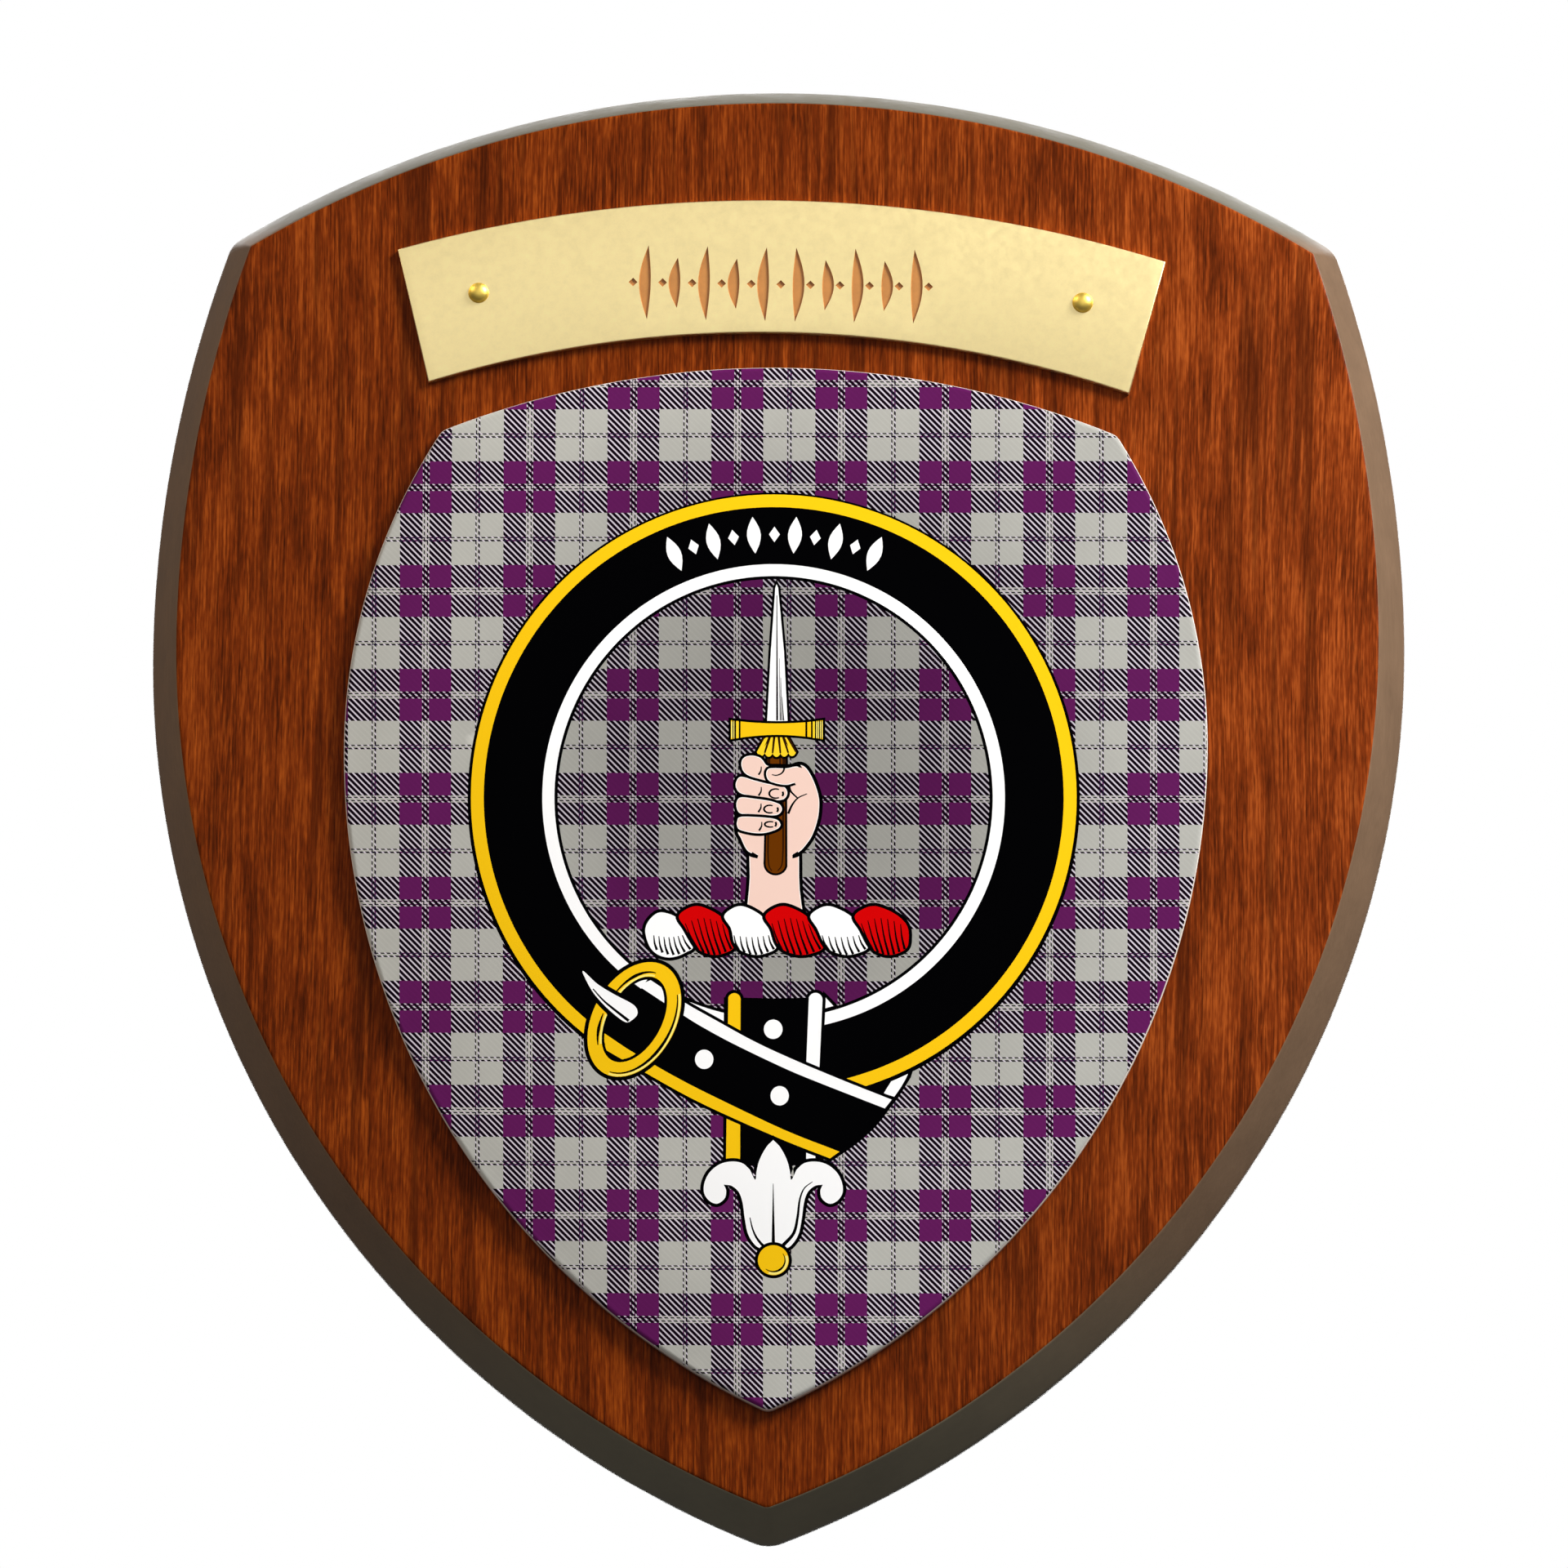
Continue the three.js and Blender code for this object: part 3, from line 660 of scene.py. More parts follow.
def draw_hand(drawing):
    """A fist seen from its palm side, on a wrist that rises from the wreath. The grip runs through it, the
    four fingers close over the grip from the left, and the thumb from the right."""
    wrist = [(-5.0, -12.8), (-4.95, -15.5), (-4.9, -18.0), (-5.05, -20.5), (-5.35, -23.5), (-5.85, -26.8),
             (5.95, -26.8), (5.45, -23.5), (5.1, -20.5), (5.0, -18.0), (5.0, -15.5), (4.95, -12.6)]
    draw_flesh(drawing, wrist, 0.68)
    palm = smooth_curve([(-7.35, -8.4), (-6.7, -10.0), (-5.8, -12.0), (-5.0, -12.9), (-3.4, -13.5),
                         (0.0, -13.8), (3.6, -13.5), (4.95, -12.9), (6.0, -11.9), (7.35, -10.0), (8.2, -8.0),
                         (8.75, -6.0), (9.0, -4.0), (9.0, -2.0), (8.55, 0.0), (7.8, 2.0), (6.85, 3.8),
                         (5.9, 4.8), (4.8, 5.0), (3.0, 4.5), (-2.0, 4.3), (-6.2, 1.0), (-7.2, -4.0)])
    draw_flesh(drawing, palm, 0.72)
    drawing.fill([(-3.3, -12.6), (3.6, -12.6), (3.7, -15.2), (-3.4, -15.2)], SKIN)
    drawing.fill([(-4.4, -12.9), (-3.2, -13.6), (-3.3, -14.0), (-4.9, -13.9)], BLACK)
    drawing.fill([(4.7, -12.8), (3.7, -13.4), (3.9, -13.8), (5.2, -13.6)], BLACK)
    grip = rounded_bar((0.4, 2.4), (0.28, -15.3), 1.75, 2.0)
    drawing.outlined(grip, GRIP_BROWN, 0.45)
    for x in (-1.25, 1.75):
        drawing.line([(x, 0.0), (x + 0.04, -9.0), (x, -13.0), (x * 0.86, -15.6), (x * 0.4, -16.8)], 0.42, 0.2,
                     colour=DARK_BROWN)
    index = [(-1.5, 4.95), (-2.3, 6.0), (-3.0, 6.6), (-4.2, 6.95), (-5.5, 6.85), (-6.3, 6.3), (-6.6, 5.5),
             (-6.5, 4.5), (-6.0, 3.5), (-4.9, 2.75), (-3.0, 2.05), (-1.0, 1.6), (0.3, 1.7), (0.3, 4.3)]
    draw_flesh(drawing, smooth_curve(index))
    for loop, nail, size, tip, crease in [
        ([(-6.7, 2.6), (-7.65, 1.5), (-7.6, 0.2), (-6.7, -0.8), (-4.5, -1.4), (-2, -1.8), (0, -2.2),
          (1.6, -2.1), (2.4, -1.5), (2.6, -0.5), (2.1, 0.4), (1, 0.75), (-1.5, 1.2), (-4, 1.85)],
         (0.3, -0.85), (1.3, 0.95), (1.8, -0.95), (-2.6, 0.5)),
        ([(-6.7, -1.65), (-7.55, -2.6), (-7.45, -4.1), (-6.6, -5.0), (-4, -5.2), (-2, -5.35), (0.3, -5.3),
          (1.25, -4.8), (1.55, -4.0), (1.2, -3.2), (0.5, -2.8), (-1, -2.35), (-4, -1.9)],
         (-0.9, -4.05), (1.15, 0.78), (0.75, -4.2), (-2.65, -2.9)),
        ([(-6.6, -5.65), (-7.45, -6.6), (-7.4, -7.7), (-6.7, -8.4), (-4, -9.0), (-1.8, -8.95), (0.3, -8.3),
          (1.1, -7.7), (1.2, -7.0), (0.4, -6.2), (-2, -5.8)],
         (-0.75, -7.2), (1.15, 0.56), (0.38, -7.2), (-2.5, -6.7)),
    ]:
        draw_flesh(drawing, smooth_curve(loop))
        drawing.line(oval_arc(nail, *size, 0, 60, 180), 0.28, 0.42, curved=False)
        drawing.line(oval_arc(nail, *size, 0, 180, 300), 0.42, 0.28, curved=False)
        drawing.line([(tip[0] - 0.12, tip[1] + 0.5), tip, (tip[0] - 0.18, tip[1] - 0.45)], 0.42)
        drawing.line([crease, (crease[0] - 0.05, crease[1] - 0.9), (crease[0] - 0.55, crease[1] - 1.8)],
                     0.2, 0.42)
    thumb = [(-1.0, 4.3), (-1.5, 3.8), (-1.6, 3.1), (-1.4, 2.3), (-0.9, 1.7), (0.0, 1.35), (1.2, 1.05),
             (2.4, 0.95), (3.4, 1.15), (5.0, 2.0), (4.9, 4.6), (2.4, 4.35), (0.3, 4.4)]
    draw_flesh(drawing, smooth_curve(thumb), 0.52)
    drawing.fill(smooth_curve([(3.2, 3.9), (4.6, 4.5), (5.7, 4.3), (6.5, 3.2), (7.4, 0.8), (5.6, 0.3),
                               (4.1, 1.3)]), SKIN)
    drawing.line([(-0.5, 3.05), (0.4, 2.9), (1.3, 3.2), (1.85, 3.8), (2.05, 4.6)], 0.2, 0.42)
    drawing.line([(-2.6, 4.7), (-2.7, 3.8), (-3.15, 3.0)], 0.2, 0.42)
    drawing.line([(2.2, 0.65), (3.2, 0.8), (4.2, 1.3)], 0.5, 0.15)
    drawing.line([(2.95, 0.7), (3.4, -0.5), (4.7, -1.8)], 0.5, 0.3)
    drawing.line([(6.6, -0.9), (4.8, -1.75), (3.6, -3.2), (2.8, -5.0)], 0.2, 0.5)


def badge():
    """The whole badge, from the lowest ink to the topmost."""
    drawing = Drawing()
    for draw in (draw_ring, draw_ring_strokes, draw_hanging_end, draw_crossing_strap, draw_buckle, draw_tip,
                 draw_dagger, draw_hand, draw_wreath):
        draw(drawing)
    return drawing


def on_print(loop):
    """Carries a drawn shape to the board's own frame: a small turn, a spread that grows with the height and
    a small shift, and then a shift down where the dome stands higher, since the drawing is laid on along a
    line that rises to the back."""
    x, z = loop[:, 0], loop[:, 1]
    spread = PRINT_SPREAD * z
    flat = np.stack([x * (1 + spread) - PRINT_TURN[0] * z,
                     z * (PRINT_HEIGHT_SCALE + spread) + PRINT_TURN[1] * x], 1) + PRINT_SHIFT
    placed = flat.copy()
    for _ in range(3):
        placed[:, 1] = flat[:, 1] - PRINT_LEAN * (dome_height(placed) - PRINT_HEIGHT)
    return placed


def inside_loop(loop, points):
    """Which points a loop encloses: a ray to the right of each crosses it an odd number of times."""
    near = np.nonzero(((points >= loop.min(0)) & (points <= loop.max(0))).all(1))[0]
    inside = np.zeros(len(points), bool)
    x, z = points[near, 0][:, None], points[near, 1][:, None]
    start, end = loop[None], np.roll(loop, -1, 0)[None]
    spans = (start[..., 1] > z) != (end[..., 1] > z)
    rise = np.where(end[..., 1] == start[..., 1], 1, end[..., 1] - start[..., 1])
    crossing = start[..., 0] + (z - start[..., 1]) * (end[..., 0] - start[..., 0]) / rise
    inside[near] = (spans & (x < crossing)).sum(1) % 2 == 1
    return inside


def cut_flat(loops, extra_points=()):
    """Divides the area inside the first loop, which is convex, into triangles along the edges of every
    loop, and through the extra points. Gives the points and the triangles."""
    points = np.concatenate([*loops, *([extra_points] if len(extra_points) else [])])
    edges, start = [], 0
    for loop in loops:
        ids = np.arange(start, start + len(loop))
        edges += np.stack([ids, np.roll(ids, -1)], 1).tolist()
        start += len(loop)
    flat = [Vector(p) for p in points.tolist()]
    found, _, faces, *_ = delaunay_2d_cdt(flat, edges, [], 0, 1e-5, False)
    return np.array([tuple(p) for p in found]), np.array(faces)


# Node trees

class Graph:
    """Adds nodes to a tree. An input that is given a socket is linked, and any other value is set."""

    def __init__(self, tree):
        self.tree = tree

    def add(self, kind, inputs=None, **settings):
        node = self.tree.nodes.new(kind)
        for name, value in settings.items():
            setattr(node, name, value)
        for key, value in (inputs or {}).items():
            if isinstance(value, bpy.types.NodeSocket):
                self.tree.links.new(value, node.inputs[key])
            else:
                node.inputs[key].default_value = value
        return node

    def math(self, operation, *values):
        return self.add("ShaderNodeMath", dict(enumerate(values)), operation=operation).outputs[0]

    def vector(self, operation, *values):
        return self.add("ShaderNodeVectorMath", dict(enumerate(values)), operation=operation).outputs[0]

    def mapped(self, vector, scale, shift=(0, 0, 0)):
        inputs = {"Vector": vector, "Scale": scale, "Location": shift}
        return self.add("ShaderNodeMapping", inputs).outputs[0]

    def noise(self, vector, scale, detail, roughness=0.5):
        inputs = {"Vector": vector, "Scale": scale, "Detail": detail, "Roughness": roughness}
        return self.add("ShaderNodeTexNoise", inputs).outputs["Fac"]

    def between(self, value, low, high, out_low=0.0, out_high=1.0, smooth=False):
        """The value's place between low and high, carried to the output range and held to it."""
        inputs = {"Value": value, "From Min": low, "From Max": high, "To Min": out_low, "To Max": out_high}
        kind = "SMOOTHSTEP" if smooth else "LINEAR"
        return self.add("ShaderNodeMapRange", inputs, interpolation_type=kind).outputs[0]

    def mix(self, factor, first, second):
        node = self.add("ShaderNodeMix", data_type="RGBA")
        for socket, value in zip([node.inputs[0], node.inputs[6], node.inputs[7]], [factor, first, second]):
            if isinstance(value, bpy.types.NodeSocket):
                self.tree.links.new(value, socket)
            else:
                socket.default_value = value
        return node.outputs[2]

    def steps(self, factor, stops):
        """A colour ramp in plain steps, each given as the place from 0 to 1 where it starts and a colour."""
        node = self.add("ShaderNodeValToRGB", {"Fac": factor})
        elements = node.color_ramp.elements
        node.color_ramp.interpolation = "CONSTANT"
        while len(elements) > 1:
            elements.remove(elements[0])
        elements[0].position, elements[0].color = stops[0]
        for place, colour in stops[1:]:
            elements.new(place).color = colour
        return node.outputs[0]

    def bump(self, height, strength, distance):
        inputs = {"Height": height, "Strength": strength, "Distance": distance}
        return self.add("ShaderNodeBump", inputs).outputs[0]

    def split(self, vector):
        return self.add("ShaderNodeSeparateXYZ", {0: vector}).outputs

    def joined(self, x=0.0, y=0.0, z=0.0):
        return self.add("ShaderNodeCombineXYZ", {0: x, 1: y, 2: z}).outputs[0]

    def scaled(self, vector, factor):
        inputs = {0: vector, "Scale": factor}
        return self.add("ShaderNodeVectorMath", inputs, operation="SCALE").outputs[0]

    def length(self, vector):
        return self.add("ShaderNodeVectorMath", {0: vector}, operation="LENGTH").outputs["Value"]

    def placed(self, group, **inputs):
        """The outputs of a node group that is placed with its own values."""
        return self.add("ShaderNodeGroup", inputs, node_tree=group).outputs


def new_group(name, inputs, outputs):
    """An empty node group. Inputs and outputs are given as names and kinds of socket."""
    group = bpy.data.node_groups.new(name, "ShaderNodeTree")
    for socket, kind, value in inputs:
        made = group.interface.new_socket(socket, in_out="INPUT", socket_type=f"NodeSocket{kind}")
        if value is not None:
            made.default_value = value
    for socket, kind in outputs:
        group.interface.new_socket(socket, in_out="OUTPUT", socket_type=f"NodeSocket{kind}")
    graph = Graph(group)
    return graph, graph.add("NodeGroupInput").outputs, graph.add("NodeGroupOutput")


# Waves per millimetre sideways, through and along the grain, a shift, the detail and the roughness
GRAIN_NOISE = {
    "fine": ((2.6, 2.6, 0.09), (0, 0, 0), 2.0, 0.6),
    "short": ((2.2, 2.2, 0.4), (9, 6, 3), 1.0, 0.5),
    "broad": ((0.6, 0.6, 0.07), (7, 3, 5), 2.0, 0.55),
    "patch": ((0.12, 0.12, 0.035), (2, 9, 1), 2.0, 0.5),
    "pore": ((2.3, 2.3, 0.17), (4, 4, 8), 1.0, 0.5),
    "band": ((0.4, 0.4, 0.014), (5, 1, 9), 1.0, 0.5),
}
GRAIN_SHARES = {"fine": 0.9, "short": 0.35, "broad": 0.25, "patch": 0.4}  # of the wood's tone
WANDER_WAVES = (0.012, 0.012, 0.006)
WANDER_REACH = 4.0
PORE_CROWDING = 0.6  # how much a dark patch adds to its pores
PORE_RANGE = (0.57, 0.7)  # of the noise, from no pore to a full one, and the same for the bands
PORE_DARKNESS = 0.6
BAND_RANGE = (0.54, 0.72)


def wood_grain_group():
    """Upright grain: fine streaks, broader ones, long dark bands, cloudy patches, and short dark pores that
    crowd where the patches are dark. All come from noise that is drawn out along Z, with a slow sideways
    wander. Position is in millimetres."""
    graph, given, result = new_group(
        "wood_grain",
        [("Position", "Vector", None), ("Dark", "Color", None), ("Middle", "Color", None),
         ("Light", "Color", None), ("Contrast", "Float", 1.0), ("Pores", "Float", 1.0),
         ("Bands", "Float", 0.5)],
        [("Color", "Color"), ("Height", "Float"), ("Shine", "Float")],
    )
    position = given["Position"]
    wander = graph.noise(graph.mapped(position, WANDER_WAVES), 1.0, 1.0)
    aside = graph.between(wander, 0, 1, -WANDER_REACH, WANDER_REACH)
    bent = graph.vector("ADD", position, graph.joined(x=aside))
    layers = {
        name: graph.noise(graph.mapped(bent, waves, shift), 1.0, detail, roughness)
        for name, (waves, shift, detail, roughness) in GRAIN_NOISE.items()
    }
    tone = -sum(GRAIN_SHARES.values()) / 2
    for name, share in GRAIN_SHARES.items():
        tone = graph.math("MULTIPLY_ADD", layers[name], share, tone)
    tone = graph.math("MULTIPLY_ADD", tone, graph.math("MULTIPLY", given["Contrast"], 2.0), 0.5)
    crowding = graph.math("MULTIPLY_ADD", layers["patch"], -PORE_CROWDING, PORE_CROWDING / 2)
    pore = graph.math("ADD", layers["pore"], crowding)
    pores = graph.math("MULTIPLY", graph.between(pore, *PORE_RANGE, smooth=True), given["Pores"])
    low = graph.mix(graph.between(tone, 0.0, 0.5), given["Dark"], given["Middle"])
    colour = graph.mix(graph.between(tone, 0.5, 1.0), low, given["Light"])
    colour = graph.mix(graph.math("MULTIPLY", pores, PORE_DARKNESS), colour, given["Dark"])
    bands = graph.math("MULTIPLY", graph.between(layers["band"], *BAND_RANGE, smooth=True), given["Bands"])
    colour = graph.mix(bands, colour, given["Dark"])
    links = graph.tree.links
    links.new(colour, result.inputs["Color"])
    links.new(graph.math("SUBTRACT", tone, pores), result.inputs["Height"])
    links.new(graph.between(tone, 0.2, 0.8, -0.5, 0.5), result.inputs["Shine"])
    return graph.tree


MOTTLE_RATIO = 5.0  # of the coarse clouds' size to the small ones'
MOTTLE_SMALL_SHARE = 0.5


def mottle_group():
    """Soft cloudy unevenness about zero, from two sizes of noise. Position is in millimetres."""
    graph, given, result = new_group(
        "mottle",
        [("Position", "Vector", None), ("Size", "Float", 4.0), ("Amount", "Float", 0.1)],
        [("Value", "Float")],
    )
    scale = graph.math("DIVIDE", 1.0, given["Size"])
    coarse = graph.noise(given["Position"], scale, 2.0)
    small = graph.noise(given["Position"], graph.math("MULTIPLY", scale, MOTTLE_RATIO), 2.0)
    both = graph.math("MULTIPLY_ADD", small, MOTTLE_SMALL_SHARE, coarse)
    centred = graph.math("SUBTRACT", both, (1 + MOTTLE_SMALL_SHARE) / 2)
    value = graph.math("MULTIPLY", centred, given["Amount"])
    graph.tree.links.new(value, result.inputs["Value"])
    return graph.tree


THREAD_PERIOD = (1.24, 1.27)  # of the twill's diagonals, across and up
PALE_SHARE = 0.36  # of that period, in which the paler thread lies on top
TARTAN_PERIOD = (20.92, 21.46)
TARTAN_START = (8.175, 3.42)  # the left and the upper edge of one purple stripe
PURPLE = srgb(95, 27, 87)
PALE_GREY = srgb(179, 178, 171)
DARK_THREAD = srgb(24, 8, 24)
WHITE_THREAD = srgb(194, 185, 186)
BLUE_THREAD = srgb(34, 26, 50)
HATCH_PALE = srgb(203, 195, 206)
HATCH_DARK = srgb(18, 6, 18)
HATCH_RANGE = (0.47, 0.56)  # of the distance between two colours, in which the hatch takes over
TWILL_RELIEF = 0.025  # how much lighter and darker the twill is in an even colour
TARTAN_STRIPES = [
    (27.6, PURPLE), (1.4, WHITE_THREAD), (1.5, DARK_THREAD), (2.6, WHITE_THREAD), (1.5, DARK_THREAD),
    (1.4, WHITE_THREAD), (27.6, PURPLE), (29.3, PALE_GREY), (1.6, BLUE_THREAD), (2.0, PALE_GREY),
    (1.6, BLUE_THREAD), (29.3, PALE_GREY),
]


def tartan_group():
    """Printed tartan: the same stripes across and down, and a twill in which the paler or the darker of the
    two shows along diagonals. Where they differ much, it is printed as a hatch of pale and dark lines."""
    graph, given, result = new_group(
        "tartan",
        [("Position", "Vector", None)],
        [("Color", "Color")],
    )
    x, _, z = graph.split(given["Position"])
    height = graph.math("SUBTRACT", z, PRINT_SHIFT[1])
    narrowing = graph.math("MULTIPLY_ADD", height, -PRINT_SPREAD, 1.0)
    across = graph.math("MULTIPLY_ADD", height, PRINT_TURN[0], graph.math("SUBTRACT", x, PRINT_SHIFT[0]))
    across = graph.math("MULTIPLY", across, narrowing)
    up = graph.math("MULTIPLY", height, graph.math("DIVIDE", narrowing, PRINT_HEIGHT_SCALE))
    up = graph.math("MULTIPLY_ADD", x, -PRINT_TURN[1], up)
    total = sum(width for width, _ in TARTAN_STRIPES)
    starts = np.cumsum([0] + [width for width, _ in TARTAN_STRIPES[:-1]]) / total
    stops = [(place, colour) for place, (_, colour) in zip(starts.tolist(), TARTAN_STRIPES)]
    right = graph.math("DIVIDE", graph.math("SUBTRACT", across, TARTAN_START[0]), TARTAN_PERIOD[0])
    down = graph.math("DIVIDE", graph.math("SUBTRACT", TARTAN_START[1], up), TARTAN_PERIOD[1])
    warp = graph.steps(graph.math("FRACT", right), stops)
    weft = graph.steps(graph.math("FRACT", down), stops)
    diagonal = graph.math("ADD", graph.math("DIVIDE", across, THREAD_PERIOD[0]),
                          graph.math("DIVIDE", up, THREAD_PERIOD[1]))
    over = graph.math("LESS_THAN", graph.math("FRACT", diagonal), PALE_SHARE)
    paler, darker = graph.vector("MAXIMUM", warp, weft), graph.vector("MINIMUM", warp, weft)
    apart = graph.length(graph.vector("SUBTRACT", paler, darker))
    hatch = graph.between(apart, *HATCH_RANGE, smooth=True)
    pale, dark = graph.mix(hatch, paler, HATCH_PALE), graph.mix(hatch, darker, HATCH_DARK)
    relief = graph.between(over, 0, 1, 1 - TWILL_RELIEF, 1 + TWILL_RELIEF)
    graph.tree.links.new(graph.scaled(graph.mix(over, dark, pale), relief), result.inputs["Color"])
    return graph.tree


def new_material(name):
    """A material with a Principled shader. Gives the graph, the shader and the place in millimetres."""
    material = bpy.data.materials.new(name)
    material.use_nodes = True
    graph = Graph(material.node_tree)
    shader = material.node_tree.nodes["Principled BSDF"]
    place = graph.add("ShaderNodeTexCoord").outputs["Object"]
    return material, graph, shader, graph.scaled(place, 1 / MM)


def set_shader(graph, shader, **values):
    """Sets or links the shader's inputs, named with underscores for spaces."""
    for name, value in values.items():
        socket = shader.inputs[name.replace("_", " ")]
        if isinstance(value, bpy.types.NodeSocket):
            graph.tree.links.new(value, socket)
        else:
            socket.default_value = value


def shaded(graph, colour, value):
    """A colour made lighter or darker by a share that varies about zero."""
    if not isinstance(colour, bpy.types.NodeSocket):
        colour = colour[:3]
    return graph.scaled(colour, graph.math("ADD", value, 1.0))


STAIN_MIDDLE = 0.86  # the wood's tone in the middle of the board, and how it rises over it: partly the stain, partly painted shade that darkens the lower left
STAIN_AND_SHADE_RISE_ACROSS = 0.0013
STAIN_AND_SHADE_RISE_UP = 0.0004
STAIN_AND_SHADE_RISE_OUTWARDS = 1.3e-5
STAIN_GREEN = (1.3, -0.23)  # slope and start of the green and the blue over the tone
STAIN_BLUE = (3.0, -1.95)


def stained_wood(grain):
    """Reddish mahogany stain under a satin varnish. Its tone is darker towards the lower left and lighter
    towards the sides:
    partly the stain's own unevenness, partly painted shade where the light from the upper right falls off.
    The tone rises evenly across and up, and with the square of the distance from the middle line."""
    material, graph, shader, position = new_material("stained_mahogany")
    across, _, up = graph.split(position)
    # Painted shade in part: the tone falls towards the lower left, away from the key light, and rises towards
    # the sides.
    tone = graph.math("MULTIPLY_ADD", up, STAIN_AND_SHADE_RISE_UP, STAIN_MIDDLE)
    tone = graph.math("MULTIPLY_ADD", across, STAIN_AND_SHADE_RISE_ACROSS, tone)
    tone = graph.math("MULTIPLY_ADD", graph.math("MULTIPLY", across, across), STAIN_AND_SHADE_RISE_OUTWARDS, tone)
    green = graph.math("MULTIPLY_ADD", tone, *STAIN_GREEN)
    blue = graph.math("MULTIPLY_ADD", tone, *STAIN_BLUE)
    wood = graph.placed(grain, Position=position, Dark=srgb(66, 21, 2), Middle=srgb(119, 45, 8),
                        Light=srgb(168, 77, 24), Contrast=0.88, Pores=0.9, Bands=0.6)
    colour = graph.vector("MULTIPLY", wood["Color"], graph.joined(tone, green, blue))
    set_shader(graph, shader, Base_Color=colour, Specular_IOR_Level=0.035,
               Roughness=graph.math("MULTIPLY_ADD", wood["Shine"], -0.08, 0.36),
               Normal=graph.bump(wood["Height"], 0.12, 0.1 * MM))
    return material


PAINTED_SHEEN_TOP = (114, 122)  # heights between which the edge turns to a painted grey reflection along the top, and to a painted paler light towards the tip
PAINTED_LIGHT_TIP = (-80, -140)


def sealed_edge(grain, mottle):
    """The smooth brown sealer on the bevel and the edge, with a trace of grain. Along the top it is painted
    greyer, a painted reflection of the pale light above, and towards the tip it is painted paler, painted
    light that lifts the shade there."""
    material, graph, shader, position = new_material("sealed_brown_edge")
    _, _, up = graph.split(position)
    wood = graph.placed(grain, Position=position, Dark=srgb(108, 84, 63), Middle=srgb(117, 92, 70),
                        Light=srgb(126, 100, 77), Contrast=0.5, Pores=0.15, Bands=0.1)
    cloud = graph.placed(mottle, Position=position, Size=9.0, Amount=0.25)[0]
    # Painted reflection: greyer along the top, as the pale light above would show on the sealer.
    colour = graph.mix(graph.between(up, *PAINTED_SHEEN_TOP, smooth=True), wood["Color"], srgb(99, 94, 80))
    # Painted light: paler towards the tip, lifting the shade that lies on the lower bevel.
    colour = graph.mix(graph.between(up, *PAINTED_LIGHT_TIP, smooth=True), colour, srgb(130, 121, 100))
    set_shader(graph, shader, Base_Color=shaded(graph, colour, cloud), Specular_IOR_Level=0.3,
               Roughness=graph.math("ADD", cloud, 0.38), Normal=graph.bump(wood["Height"], 0.05, 0.1 * MM))
    return material


def plain_back(grain):
    """The back of the board: the same wood, stained once and left matt."""
    material, graph, shader, position = new_material("matt_back")
    wood = graph.placed(grain, Position=position, Dark=srgb(70, 38, 20), Middle=srgb(118, 66, 34),
                        Light=srgb(146, 88, 50), Contrast=0.8, Pores=1.0)
    set_shader(graph, shader, Base_Color=wood["Color"], Specular_IOR_Level=0.3, Roughness=0.72,
               Normal=graph.bump(wood["Height"], 0.2, 0.1 * MM))
    return material


def bare_wood(grain):
    """Bare wood inside the routed keyhole and the pilot holes."""
    material, graph, shader, position = new_material("bare_wood")
    wood = graph.placed(grain, Position=position, Dark=srgb(120, 84, 52), Middle=srgb(166, 124, 82),
                        Light=srgb(190, 150, 106), Contrast=0.7, Pores=0.6)
    set_shader(graph, shader, Base_Color=wood["Color"], Roughness=0.85, Specular_IOR_Level=0.3,
               Normal=graph.bump(wood["Height"], 0.3, 0.1 * MM))
    return material


INK_ATTRIBUTE = "badge_ink"
SHADE_REACH = (84, 100)  # of the tartan's darker middle, across and up
SHADE_RANGE = (0.25, 0.95)  # shares of that reach
SHADE_MIDDLE = 0.68
PAINTED_SHADE_ACROSS = -0.0012  # painted shade: how the tartan's tone falls across and up, darker towards the upper right, where the key light falls more strongly on the dome
PAINTED_SHADE_UP = -0.0013
PRINT_END = FACE_Y - SHIELD_EDGE_HEIGHT + SHIELD_EDGE_RADIUS / 2
PRINT_END_BLUR = 0.1


